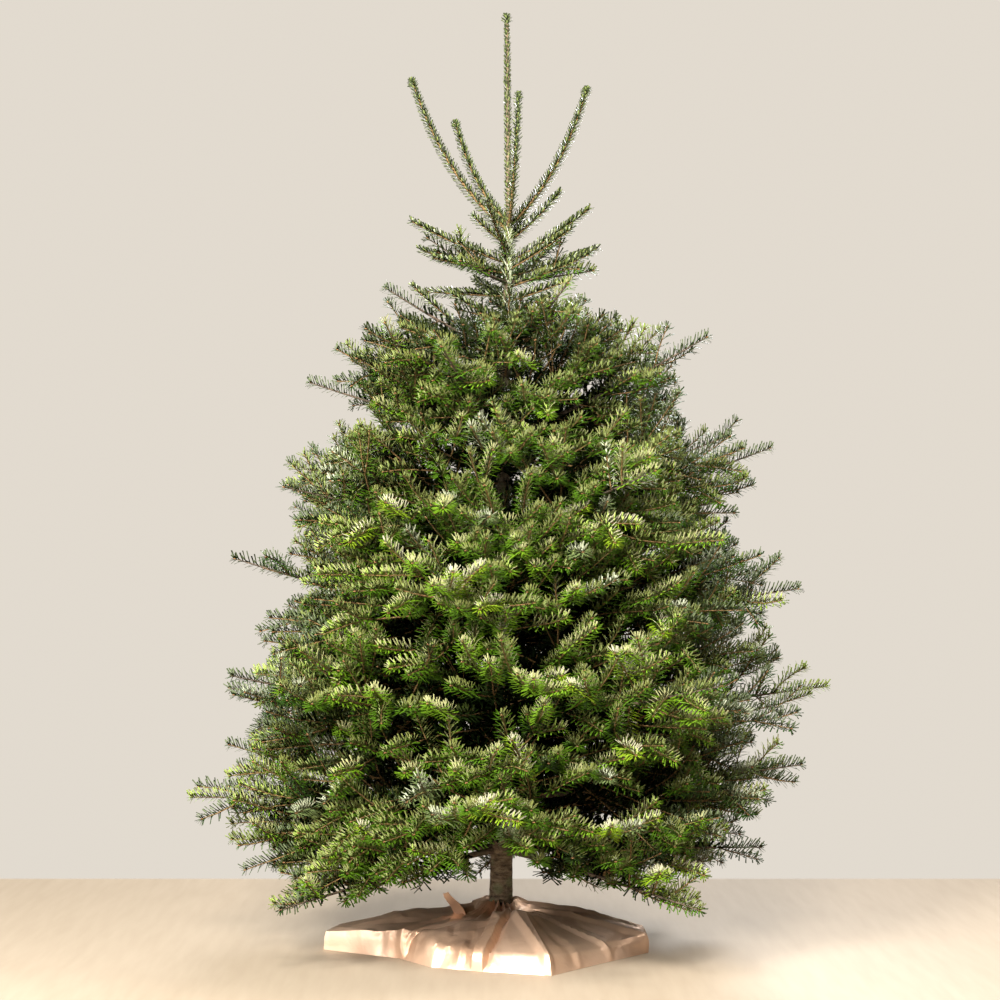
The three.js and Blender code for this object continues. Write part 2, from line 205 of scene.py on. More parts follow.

# %% [markdown]
# ## Finishes
#
# A needle of this fir is glossy green above and paler below, where two white bands run along it.
# Those along the top of a shoot catch the light and look paler still; here that is a painted
# highlight, a paler colour. So each tint is three materials: a paler one for the crest of a shoot,
# with the painted highlight, one for its sides, and one for the undersides. The tint differs from
# shoot to shoot: young tips in the light are yellow-green, partly painted light, and old shoots
# inside the crown are nearly black, partly painted shade. That could be one pattern over the whole
# crown, but a plain colour dealt out shoot by shoot stays exactly where it belongs.


# %% Plain materials
def finish(name, colour, roughness, metallic=0.0, coat=0.0, specular=0.5):
    """A Principled material with plain values; its node tree can be given patterns afterwards."""
    material = bpy.data.materials.new(name)
    material.use_nodes = True
    shader = material.node_tree.nodes["Principled BSDF"]
    shader.inputs["Base Color"].default_value = (*colour, 1)
    shader.inputs["Roughness"].default_value = roughness
    shader.inputs["Metallic"].default_value = metallic
    shader.inputs["Coat Weight"].default_value = coat
    shader.inputs["Specular IOR Level"].default_value = specular
    return material


# The colours of the needles along the crest of a shoot, paler as a painted highlight, of those at
# its sides, and of undersides. The darker tints are partly painted shade, the lighter ones partly
# painted light.
TINTS = {
    # nearly black: partly the old needles' own colour, partly painted shade deep in the crown
    "shade": ((0.005, 0.010, 0.002), (0.004, 0.008, 0.001), (0.010, 0.016, 0.005)),
    # dark green: partly painted shade inside the crown
    "deep": ((0.024, 0.034, 0.006), (0.011, 0.027, 0.002), (0.032, 0.045, 0.012)),
    # the flanks that turn away from the windows: darker and bluer, painted shade
    "cool": ((0.096, 0.125, 0.057), (0.027, 0.079, 0.006), (0.096, 0.122, 0.055)),
    "leaf": ((0.172, 0.190, 0.049), (0.067, 0.158, 0.003), (0.145, 0.182, 0.045)),
    # young shoots in the light: partly their own colour, partly painted light
    "fresh": ((0.370, 0.370, 0.165), (0.145, 0.285, 0.008), (0.225, 0.300, 0.052)),
    "sunny": ((0.510, 0.485, 0.320), (0.230, 0.365, 0.012), (0.305, 0.390, 0.085)),
    "silver": ((0.340, 0.360, 0.230), (0.150, 0.205, 0.070), (0.360, 0.390, 0.270)),
}
GLOSS = {"shade": 0.03, "deep": 0.18}  # dusty old needles shine less than young ones
CREST_GLOSS = 0.45
SIDE_GLOSS = 0.28
# The crest material of each tint is its paler one, a painted highlight.
needle_finish = {
    tint: (
        finish(f"needle_{tint}", upper, 0.42, specular=GLOSS.get(tint, SIDE_GLOSS)),
        finish(f"needle_{tint}_underside", under, 0.55, specular=GLOSS.get(tint, SIDE_GLOSS)),
        finish(f"needle_{tint}_crest_highlight", crest, 0.34, specular=GLOSS.get(tint, CREST_GLOSS)),
    )
    for tint, (crest, upper, under) in TINTS.items()
}
print("needle finishes", len(needle_finish))

# %% [markdown]
# The floor is plain and pale, with a grain too faint to draw the eye. A metre behind the tree it
# gives way to the colour of the wall, and so it does further out all round. A real wall would
# hide the tree when it is looked at from behind.

# %% The floor's material
FLOOR_END = 0.95
FADE_FROM, FADE_TO = 1.75, 2.30
pale_floor = finish("pale_floor", (0.41, 0.33, 0.25), 0.55, specular=0.15)
tree = pale_floor.node_tree
shader = tree.nodes["Principled BSDF"]
place = add(tree, "ShaderNodeTexCoord").outputs["Object"]
stretched = add(
    tree,
    "ShaderNodeMapping",
    {"Vector": place, "Scale": (9, 1.1, 1), "Rotation": (0, 0, math.radians(38))},
).outputs["Vector"]
grain = add(tree, "ShaderNodeTexNoise", {"Vector": stretched, "Scale": 4.0, "Detail": 6.0})
tone = mixed(tree, grain.outputs["Fac"], (0.370, 0.295, 0.215, 1), (0.450, 0.370, 0.280, 1))
tree.links.new(tone, shader.inputs["Base Color"])
depth = add(tree, "ShaderNodeSeparateXYZ", {"Vector": place}).outputs["Y"]
behind = ranged(tree, depth, from_min=FLOOR_END, from_max=FLOOR_END + 0.02)
distance = add(tree, "ShaderNodeVectorMath", {0: place}, operation="LENGTH").outputs["Value"]
far = ranged(tree, distance, smooth=True, from_min=FADE_FROM, from_max=FADE_TO)
beyond = maths(tree, "MAXIMUM", behind, far)
wall = add(tree, "ShaderNodeEmission", {"Color": WALL_COLOUR, "Strength": WALL_BRIGHTNESS})
choice = add(
    tree,
    "ShaderNodeMixShader",
    {"Fac": beyond, 1: shader.outputs["BSDF"], 2: wall.outputs["Emission"]},
)
tree.links.new(choice.outputs["Shader"], tree.nodes["Material Output"].inputs["Surface"])
floor.data.materials.append(pale_floor)
print("the floor ends", FLOOR_END, "m behind the tree")

# %% [markdown]
# ### Bark
#
# A young fir's bark is thin and grey-brown, with blisters of resin, fine cross wrinkles and
# patches of green-grey lichen. It could be a photograph of bark, but that would repeat and show
# seams. Here a noise mixes two browns and a pattern of cells lays lichen over them. The same
# pattern is wanted on the trunk, the boughs, the twigs and the buds, at other scales, so it is a
# node group with named inputs.


# %% A bark pattern as a node group
def bark_pattern():
    """Colour, roughness and a height for bark: patches of two browns, and spots of lichen."""
    tree = bpy.data.node_groups.new("bark_pattern", "ShaderNodeTree")
    taken = {"Dark": "Color", "Light": "Color", "Lichen": "Color"}
    taken |= {"Scale": "Float", "Lichen Amount": "Float"}
    for label, kind in taken.items():
        tree.interface.new_socket(label, in_out="INPUT", socket_type="NodeSocket" + kind)
    for label, kind in {"Color": "Color", "Roughness": "Float", "Height": "Float"}.items():
        tree.interface.new_socket(label, in_out="OUTPUT", socket_type="NodeSocket" + kind)
    given = tree.nodes.new("NodeGroupInput").outputs
    place = add(tree, "ShaderNodeTexCoord").outputs["Object"]
    squeezed = add(tree, "ShaderNodeMapping", {"Vector": place, "Scale": (1, 1, 2.2)})
    patches = add(
        tree,
        "ShaderNodeTexNoise",
        {
            "Vector": squeezed.outputs["Vector"],
            "Scale": given["Scale"],
            "Detail": 5.0,
            "Roughness": 0.65,
        },
    ).outputs["Fac"]

    spread = ranged(tree, patches, from_min=0.36, from_max=0.64)
    brown = mixed(tree, spread, given["Dark"], given["Light"])
    cells = add(tree, "ShaderNodeTexVoronoi", {"Vector": place, "Scale": 26.0}).outputs["Distance"]
    spots = ranged(tree, cells, from_min=0.42, from_max=0.22)
    amount = maths(tree, "MULTIPLY", spots, given["Lichen Amount"])
    add(
        tree,
        "NodeGroupOutput",
        {
            "Color": mixed(tree, amount, brown, given["Lichen"]),
            "Roughness": ranged(tree, spread, to_min=0.95, to_max=0.72),
            "Height": patches,
        },
    )
    return tree


bark_group = bark_pattern()
print(bark_group.name, [item.name for item in bark_group.interface.items_tree])


# %% Bark materials
def bark_finish(name, dark, light, lichen, scale, lichen_amount, relief):
    """Bark with its own colours and scale, and a bump as deep as relief, in metres."""
    material = finish(name, light, 0.85)
    tree = material.node_tree
    shader = tree.nodes["Principled BSDF"]
    pattern = add(
        tree,
        "ShaderNodeGroup",
        {
            "Dark": (*dark, 1),
            "Light": (*light, 1),
            "Lichen": (*lichen, 1),
            "Scale": scale,
            "Lichen Amount": lichen_amount,
        },
        node_tree=bark_group,
    ).outputs
    bump = add(tree, "ShaderNodeBump", {"Height": pattern["Height"], "Distance": relief})
    tree.links.new(pattern["Color"], shader.inputs["Base Color"])
    tree.links.new(pattern["Roughness"], shader.inputs["Roughness"])
    tree.links.new(bump.outputs["Normal"], shader.inputs["Normal"])
    return material


trunk_bark = bark_finish(
    "trunk_bark", (0.040, 0.028, 0.016), (0.25, 0.18, 0.11), (0.17, 0.18, 0.09), 55, 0.6, 0.006
)
bough_bark = bark_finish(
    "bough_bark", (0.040, 0.026, 0.016), (0.14, 0.095, 0.06), (0.08, 0.09, 0.05), 90, 0.35, 0.001
)
twig_bark = bark_finish(
    "twig_bark", (0.100, 0.052, 0.018), (0.27, 0.155, 0.050), (0.14, 0.14, 0.04), 160, 0.3, 0.0005
)
bud_scale = bark_finish(
    "bud_scale", (0.17, 0.078, 0.025), (0.40, 0.21, 0.085), (0.26, 0.16, 0.07), 420, 0.1, 0.0003
)
print("bark finishes", trunk_bark.name, bough_bark.name, twig_bark.name, bud_scale.name)

# %% [markdown]
# ## The growth rule
#
# A fir grows by one shoot a year. Each bough carries a pair of side shoots at the end of every
# year's growth, and so does every side shoot in turn, a year younger each time. The tables below
# are the ones that the solids were made from, in metres. The rule could be handed to a particle
# system, but a small function that calls itself says it more plainly, and gives every shoot its
# age.

# %% The whorls
TREE_HEIGHT = 2.150
TOP_WHORL = 1.661
TRUNK_FOOT = 0.0123
LEAN_AT_TOP = 0.020
WHORL_COLUMNS = ("name", "height", "tip", "left", "right", "boughs", "years", "bare", "turn")
WHORL_ROWS = (
    ("skirt", 0.228, 0.196, 0.612, 0.628, 5, 6, 2, 14),
    ("low", 0.345, 0.402, 0.722, 0.700, 5, 6, 2, -22),
    ("wide", 0.520, 0.618, 0.696, 0.774, 5, 6, 2, 9),
    ("middle", 0.745, 0.872, 0.625, 0.700, 5, 5, 0, -27),
    ("upper", 0.965, 1.112, 0.555, 0.635, 5, 5, 0, 5),
    ("shoulder", 1.180, 1.345, 0.458, 0.495, 5, 4, 0, -30),
    ("neck", 1.372, 1.478, 0.292, 0.312, 4, 3, 0, 20),
    ("crown", 1.532, 1.604, 0.206, 0.216, 4, 2, 0, -24),
)
WHORLS = [dict(zip(WHORL_COLUMNS, row)) for row in WHORL_ROWS]
print("whorls", {whorl["name"]: whorl["boughs"] for whorl in WHORLS})
TOP_SHOOTS = (
    dict(name="left", foot=1.650, side=-0.222, back=0.020, rise=0.349),
    dict(name="inner", foot=1.668, side=-0.124, back=0.092, rise=0.247),
    dict(name="front", foot=1.656, side=0.022, back=-0.118, rise=0.284),
    dict(name="right", foot=1.662, side=0.181, back=0.024, rise=0.318),
)
FORK_ANGLE, FORK_JITTER = 52, 6
PAIR_LIFTS = (-13, 25)  # of the two shoots of a pair, which change sides from year to year
RISE_ANGLE = 50  # of the shoot that stands up at each year's end, and of the one that hangs
HANG_ANGLE = -42
CROSS_ANGLE = 24
SIDE_SHARE = 0.68
LINE_CURVE = 1.22
NEEDLE_REACH = 0.014
SIDE_PULL = 12
WAVE_RISE = 0.050  # the tips of a whorl go up and down round it, in so many waves
WAVES_ROUND = 3
WAVE_STEP = 97
LEADER_RADIUS = 0.0062
LEADER_TAPER = 0.0030
TRUNK_TAPER, TAPER_POWER = 0.021, 0.85
FLARE, FLARE_HEIGHT = 0.005, 0.070
SWAY = 0.005
LEADER_RETURN = 0.004


# %% Where the trunk and the boughs run
def trunk_x(height):
    """Where the middle of the trunk is at a height: it leans to the right and sways a little."""
    share = np.minimum(height / TOP_WHORL, 1)
    sway = SWAY * np.sin(2 * np.pi * share)
    back = LEADER_RETURN * np.maximum(0, (height - TOP_WHORL) / (TREE_HEIGHT - TOP_WHORL))
    return LEAN_AT_TOP * share * share + sway * (1 - share) - back


def trunk_radius(height):
    """Thick at the foot, thinner with every whorl, and then the leader."""
    height = np.asarray(height, dtype=float)
    flare = FLARE * np.exp(-(height - TRUNK_FOOT) / FLARE_HEIGHT)
    taper = TRUNK_TAPER * np.maximum(0, 1 - height / TOP_WHORL) ** TAPER_POWER
    leader = LEADER_RADIUS - LEADER_TAPER * (height - TOP_WHORL) / (TREE_HEIGHT - TOP_WHORL)
    return np.where(height > TOP_WHORL, leader, LEADER_RADIUS + taper + flare)


def azimuth_of(whorl, number):
    """The direction of a bough: a little closer to the tree's sides than to front and back."""
    even = math.radians(whorl["turn"] + 360 / whorl["boughs"] * number)
    return even - math.radians(SIDE_PULL) * math.sin(2 * even)


def reach_of(whorl, azimuth):
    """How far a bough of a whorl reaches in some direction."""
    middle = (whorl["left"] + whorl["right"]) / 2
    return middle + (whorl["right"] - whorl["left"]) / 2 * math.cos(azimuth)


def line_height(whorl, azimuth, distance):
    share = distance / ((whorl["left"] + whorl["right"]) / 2)
    phase = math.radians(WAVE_STEP * WHORLS.index(whorl))
    rise = whorl["tip"] - whorl["height"] + WAVE_RISE * math.sin(WAVES_ROUND * azimuth + phase)
    return whorl["height"] + rise * share**LINE_CURVE


def bough_point(whorl, azimuth, distance):
    """A point of a bough's line, so far out from the trunk."""
    x = trunk_x(whorl["height"]) + distance * math.cos(azimuth)
    return np.array([x, distance * math.sin(azimuth), line_height(whorl, azimuth, distance)])


print("reach of the widest whorl", round(reach_of(WHORLS[2], 0), 3), "m")


# %% Directions of side shoots
def unit(vector):
    return vector / np.linalg.norm(vector)


def frame_of(forward):
    """Level and to the left of a direction, and the direction that is up for it."""
    left = np.array([-forward[1], forward[0], 0.0])
    left = unit(left) if np.linalg.norm(left) > 1e-6 else np.array([1.0, 0, 0])
    return left, np.cross(forward, left)


def side_direction(forward, fork, lift):
    """The direction of a side shoot: forked to the left by an angle and lifted by another."""
    left, up = frame_of(forward)
    fork, lift = math.radians(fork), math.radians(lift)
    flat = math.cos(fork) * forward + math.sin(fork) * left
    return unit(math.cos(lift) * flat + math.sin(lift) * up)


print("a fork of 45 degrees:", side_direction(np.array([1.0, 0, 0]), 45, 0).round(2))


# %% [markdown]
# The crown's outline is no smooth cone. It steps out at the tips of every whorl and in between
# two of them, and the shoots end at different shares of it, so that single tips stand out and
# point. Shoots could be cut off at the outline, but then their tips would lack their buds. So
# each one has years taken away, or shorter years, until it fits. No shoot hangs in front of the
# stand.

# %% How far out and how low the crown goes
# Each row is a height, and the reach to the left and to the right there.
BELOW = (0.05, 0.56, 0.57)
BELLY = (0.30, 0.70, 0.70)  # the side sprays between the two lowest whorls
DENTS = ((0.50, 0.64, 0.67), (0.745, 0.56, 0.65), (0.985, 0.47, 0.59), (1.235, 0.33, 0.45))
WAIST = ((1.445, 0.30, 0.31), (1.468, 0.17, 0.16), (1.500, 0.10, 0.10), (1.555, 0.12, 0.12))
ABOVE = (1.76, 0.10, 0.12)
TIERS = [(w["tip"], w["left"], w["right"]) for w in WHORLS if w["name"] != "neck"]
OUTLINE = sorted([BELOW, BELLY, *TIERS, *DENTS, *WAIST, ABOVE])
HANGS_TO = 0.125
STAND_CLEARANCE = 0.085
STAND_HALF_WIDTH, STAND_FADE = 0.40, 0.20
STAND_DEPTH = 0.45


def crown_reach(point):
    """The distance from the trunk to the crown's outline, at the height and bearing of a point."""
    heights, lefts, rights = zip(*OUTLINE)
    left, right = np.interp(point[2], heights, lefts), np.interp(point[2], heights, rights)
    bearing = math.atan2(point[1], point[0])
    return (left + right) / 2 + (right - left) / 2 * math.cos(bearing)


def lowest_at(points):
    """How low the crown hangs: higher in front, where the stand shows below it."""
    middle = np.clip((STAND_HALF_WIDTH - np.abs(points[..., 0])) / STAND_FADE, 0, 1)
    in_front = np.clip(-points[..., 1] / STAND_DEPTH, 0, 1)
    return HANGS_TO + STAND_CLEARANCE * middle * in_front


def fits(start, forward, length, share):
    """Whether a shoot of this length stays inside a share of the crown."""
    tip = start + forward * length
    out = math.hypot(tip[0] - trunk_x(tip[2]), tip[1])
    return out < share * crown_reach(tip) and tip[2] > lowest_at(tip)


print("steps of the outline", len(OUTLINE))


# %% [markdown]
# One function grows an axis. It wanders a little on its way, and at the end of each year it calls
# itself for a side shoot to the left and one to the right. Shoots of the third order and above
# also turn away from the trunk, towards the light, as they do on the tree.

# %% One axis with its side shoots, and theirs
stems = []  # points along an axis, its radius at the foot and at the tip, and its order
shoots = []  # one year's growth: points, age and the whorl it belongs to
SHORTEST_YEAR = 0.056
HIGHEST_ORDER = {5: 4, 7: 2}  # by level in the crown; at all other levels it is the third order
STEPS_PER_YEAR = 3
OUTWARD_PULL = 0.60  # how much a side shoot of the third order or above turns away from the trunk
TIPS_AT = (0.74, 1.10)  # where the tips end, as a share of the crown's reach
YEAR_STEP = 0.93  # the years of a shoot that doesn't fit are shortened by this,
LEAST_SHARE = 0.80  # down to this share of their length, and then it has one year less
BEND_SPREAD, WANDER = 0.28, 0.05
STEM_RADIUS, RADIUS_PER_YEAR, TIP_RADIUS = 0.0013, 0.0005, 0.0012
SIDE_FORK, SIDE_LIFT = (46, 7), (4, 15)  # means and spreads, in degrees
SIDE_LENGTH = (0.90, 1.20)


def grow(start, forward, year, years, order, level, bend, rng):
    """Grows one axis by so much a year from a place. bend raises or lowers it along its way."""
    share = rng.uniform(*TIPS_AT)
    if order > 2:
        outward = np.array([start[0] - trunk_x(start[2]), start[1], 0.0])
        forward = unit(forward + OUTWARD_PULL * unit(outward) + np.array([0, 0, bend / 2]))
    full_year = year
    while years and not fits(start, forward, year * years, share):
        year *= YEAR_STEP
        if year < LEAST_SHARE * full_year:
            year, years = full_year, years - 1
    if not years or year < SHORTEST_YEAR:
        return
    points, headings = [start], [forward]
    steps = STEPS_PER_YEAR * years
    bend += rng.normal(0, BEND_SPREAD)
    for _ in range(steps):
        heading = unit(headings[-1] + rng.normal(0, WANDER, 3) + np.array([0, 0, bend / steps]))
        points.append(points[-1] + heading * year / STEPS_PER_YEAR)
        headings.append(heading)
    if (np.array(points)[:, 2] < lowest_at(np.array(points))).any():
        return
    stems.append((np.array(points), STEM_RADIUS + RADIUS_PER_YEAR * years, TIP_RADIUS, order))
    for grown in range(years):
        span = points[STEPS_PER_YEAR * grown : STEPS_PER_YEAR * (grown + 1) + 1]
        shoots.append((np.array(span), years - grown, level))
    if order >= HIGHEST_ORDER.get(level, 3):
        return
    for node in range(1, years):
        at = STEPS_PER_YEAR * node
        age = years - node
        for hand in (1, -1):
            fork, lift = hand * rng.normal(*SIDE_FORK), rng.normal(*SIDE_LIFT)
            direction = side_direction(headings[at], fork, lift)
            side = year * rng.uniform(*SIDE_LENGTH)
            grow(points[at], direction, side, age, order + 1, level, bend / 2, rng)


# %% [markdown]
# The boughs themselves follow the lines of the solids, so that everything sits where the frame
# has it. At the end of each year they carry a pair of side shoots, one that rises and one that
# hangs, and between two years a small pair more.

# %% Grow the boughs
BOUGH_RADIUS, BOUGH_PER_YEAR, BOUGH_TIP = 0.0024, 0.00095, 0.0011
BENDS = (0.10, 0.18)  # of the side shoots of the two lowest whorls,
BEND_ABOVE = 0.26  # and of all others
RISING_BEND, HANGING_BEND = -0.3, 0.5


def grow_bough(level, index):
    """One bough from the trunk to its tip, with pairs of side shoots and some that rise or hang."""
    whorl = WHORLS[level]
    rng = np.random.default_rng(100 * level + index + 1)
    azimuth = azimuth_of(whorl, index)
    reach = reach_of(whorl, azimuth)
    years = whorl["years"]
    year = reach / years
    steps = STEPS_PER_YEAR * years
    along = np.linspace(0, reach - NEEDLE_REACH, steps + 1)
    points = np.array([bough_point(whorl, azimuth, distance) for distance in along])
    headings = [unit(step) for step in np.diff(points, axis=0)]
    headings.append(headings[-1])
    stems.append((points, BOUGH_RADIUS + BOUGH_PER_YEAR * years, BOUGH_TIP, 1))
    for grown in range(whorl["bare"], years):
        span = points[STEPS_PER_YEAR * grown : STEPS_PER_YEAR * (grown + 1) + 1]
        shoots.append((span, years - grown, level))
    bend = BENDS[level] if level < len(BENDS) else BEND_ABOVE
    for node in range(max(whorl["bare"], 1), years):
        age = years - node
        at = STEPS_PER_YEAR * node
        odd = (node + level) % 2
        side = (SIDE_SHARE + 0.3 / age) * year
        for hand in (1, -1):
            lift = PAIR_LIFTS[odd if hand > 0 else 1 - odd] + rng.normal(0, 7)
            fork = hand * (FORK_ANGLE + rng.normal(0, FORK_JITTER))
            direction = side_direction(headings[at], fork, lift)
            grow(points[at], direction, side * rng.uniform(0.95, 1.15), age, 2, level, bend, rng)
        cross = CROSS_ANGLE if odd else -CROSS_ANGLE
        for turn, lift, bent in (
            (cross, RISE_ANGLE, RISING_BEND),
            (-cross, HANG_ANGLE, HANGING_BEND),
        ):
            direction = side_direction(headings[at], turn, lift * rng.uniform(0.55, 1.05))
            grow(points[at], direction, side * rng.uniform(0.85, 1.0), age, 2, level, bent, rng)
        between = at - STEPS_PER_YEAR // 2
        for hand in (1, -1):
            fork, lift = hand * rng.normal(60, 10), rng.normal(10, 28)
            direction = side_direction(headings[between], fork, lift)
            grow(points[between], direction, 0.8 * side, max(1, age // 2), 2, level, bend, rng)


for level, whorl in enumerate(WHORLS):
    for index in range(whorl["boughs"]):
        grow_bough(level, index)
print("stems of the boughs", len(stems))

# %% [markdown]
# Between two whorls a fir also has small boughs, which leave the trunk singly and at all heights.
# They fill the middle of the crown, so that the trunk hardly shows. Near the top they are simple
# shoots. The short old ones deep inside hold few needles, all of them dark, which is painted
# shade: they close the crown from behind.

# %% Grow the small boughs between the whorls
GOLDEN_TURN = math.radians(137.5)
INNER = 8  # the level of the short old ones
SMALL_BOUGHS = (
    # count, lowest, highest, years, length of a year, rise in degrees, level, seed
    (22, 0.240, 0.34, 5, (0.105, 0.135), (-14, 3), 0, 37),
    (56, 0.33, 0.95, 5, (0.095, 0.130), (-12, 30), 0, 41),
    (44, 0.95, 1.38, 4, (0.085, 0.112), (-5, 40), 4, 43),
    (8, 1.39, 1.47, 1, (0.090, 0.130), (0, 35), 7, 47),
    # the inner ones always take the nearly black tint: painted shade
    (64, 0.36, 0.92, 3, (0.085, 0.110), (-25, 50), INNER, 53),
    (22, 0.44, 0.66, 3, (0.090, 0.115), (-30, 40), INNER, 59),
)


def grow_between(count, lowest, highest, years, year_range, rise_range, level, seed):
    """Small boughs that leave the trunk one by one, each a golden turn further round."""
    rng = np.random.default_rng(seed)
    for number in range(count):
        height = np.interp(number, [0, count - 1], [lowest, highest])
        bearing = GOLDEN_TURN * number
        rise = math.radians(rng.uniform(*rise_range))
        flat = np.array([math.cos(bearing), math.sin(bearing), 0])
        direction = unit(flat * math.cos(rise) + np.array([0, 0, math.sin(rise)]))
        foot = np.array([trunk_x(height), 0, height])
        grow(foot, direction, rng.uniform(*year_range), years, 2, level, 0.1, rng)


for row in SMALL_BOUGHS:
    grow_between(*row)
print("stems with the small boughs", len(stems))

# %% [markdown]
# The shoots just under the top whorl can be told apart in the photograph. A rule would put them
# somewhere else. Each one is a foot height and the place of its tip, so they stand where they are
# seen.

# %% The single shoots under the top
SINGLE_SHOOTS = (
    (1.575, (-0.200, -0.050, 1.665)),
    (1.549, (-0.184, 0.060, 1.615)),
    (1.552, (-0.150, -0.110, 1.575)),
    (1.500, (-0.168, 0.040, 1.515)),
    (1.626, (0.138, 0.040, 1.745)),
    (1.577, (0.202, -0.040, 1.695)),
    (1.560, (0.160, -0.120, 1.640)),
    (1.545, (0.225, 0.030, 1.614)),
    (1.520, (0.200, -0.090, 1.585)),
    (1.487, (0.161, -0.100, 1.529)),
    (1.590, (-0.030, -0.140, 1.700)),
    (1.585, (0.020, 0.150, 1.690)),
    (1.500, (-0.060, 0.180, 1.560)),
    (1.440, (-0.108, -0.030, 1.500)),
    (1.360, (-0.200, -0.020, 1.522)),
    (1.200, (-0.012, -0.250, 1.352)),
    (1.615, (-0.060, -0.030, 1.680)),
    (1.620, (0.060, 0.060, 1.705)),
)


def bent_line(foot, tip, elbow_out, elbow_up, steps):
    """A curve from a foot to a tip, pulled towards an elbow so far out and so far up."""
    foot, tip = np.array(foot), np.array(tip)
    elbow = foot + (tip - foot) * (elbow_out, elbow_out, elbow_up)
    share = np.linspace(0, 1, steps + 1)[:, None]
    return (1 - share) ** 2 * foot + 2 * share * (1 - share) * elbow + share**2 * tip


SINGLE_RADIUS = 0.0026
SINGLE_ELBOW = (0.55, 0.42)
single_lines = []
for height, tip in SINGLE_SHOOTS:
    line = bent_line((trunk_x(height), 0, height), tip, *SINGLE_ELBOW, 2 * STEPS_PER_YEAR)
    single_lines.append(line)
    stems.append((line, SINGLE_RADIUS, TIP_RADIUS, 2))
print("stems", len(stems), "shoots", len(shoots))
print("metres of shoot", round(sum(np.linalg.norm(s[0][-1] - s[0][0]) for s in shoots), 1))

# %% [markdown]
# ## Geometry Nodes by script
#
# Hundreds of thousands of needles can't be placed by hand. A loop in Python could do it, but
# slowly. Geometry Nodes place a small mesh on every point of a curve at once, so the script only
# has to draw the lines of the shoots. The helpers below begin a tree and run one on a source
# mesh.


# %% Helpers for node trees
def geometry_tree(name, sockets):
    """A tree with named inputs, and its input and output nodes."""
    tree = bpy.data.node_groups.new(name, "GeometryNodeTree")
    tree.interface.new_socket("Geometry", in_out="INPUT", socket_type="NodeSocketGeometry")
    tree.interface.new_socket("Geometry", in_out="OUTPUT", socket_type="NodeSocketGeometry")
    for label, kind in sockets.items():
        tree.interface.new_socket(label, in_out="INPUT", socket_type="NodeSocket" + kind)
    return tree, tree.nodes.new("NodeGroupInput").outputs, tree.nodes.new("NodeGroupOutput").inputs


def turned_into_mesh(name, source, tree, values):
    """Runs a tree on a source mesh and keeps only the plain mesh that comes out."""
    carrier = put(name + "_source", source)
    modifier = carrier.modifiers.new(tree.name, "NODES")
    modifier.node_group = tree
    for item in tree.interface.items_tree:
        if item.in_out == "INPUT" and item.name in values:
            modifier[item.identifier] = values[item.name]
    depsgraph = bpy.context.evaluated_depsgraph_get()
    mesh = bpy.data.meshes.new_from_object(carrier.evaluated_get(depsgraph))
    mesh.name = name
    bpy.data.objects.remove(carrier)
    bpy.data.meshes.remove(source)
    return put(name, mesh)


def lines_mesh(name, lines, values=()):
    """A mesh of open lines. Each entry of values is a name and one array for every line."""
    mesh = bpy.data.meshes.new(name)
    points = np.concatenate([np.asarray(line) for line in lines])
    sizes = np.array([len(line) for line in lines])
    ends = np.cumsum(sizes)
    starts = np.delete(np.arange(len(points)), ends - 1)
    mesh.vertices.add(len(points))
    mesh.vertices.foreach_set("co", points.astype(np.float32).ravel())
    mesh.edges.add(len(starts))
    mesh.edges.foreach_set("vertices", np.stack([starts, starts + 1], 1).astype(np.int32).ravel())
    for label, arrays in values:
        layer = mesh.attributes.new(label, "FLOAT", "POINT")
        layer.data.foreach_set("value", np.concatenate(arrays).astype(np.float32))
    return mesh


# %% [markdown]
# ## Bark of the trunk and the boughs
#
# The trunk of a young fir is nearly smooth: it swells a little under every whorl, spreads at its
# foot, and has low blisters and wrinkles. A cylinder with a bump would stay a perfect cylinder at
# its outline. Here a line with a radius at every point is swept into a tube, and then noise moves
# its points.


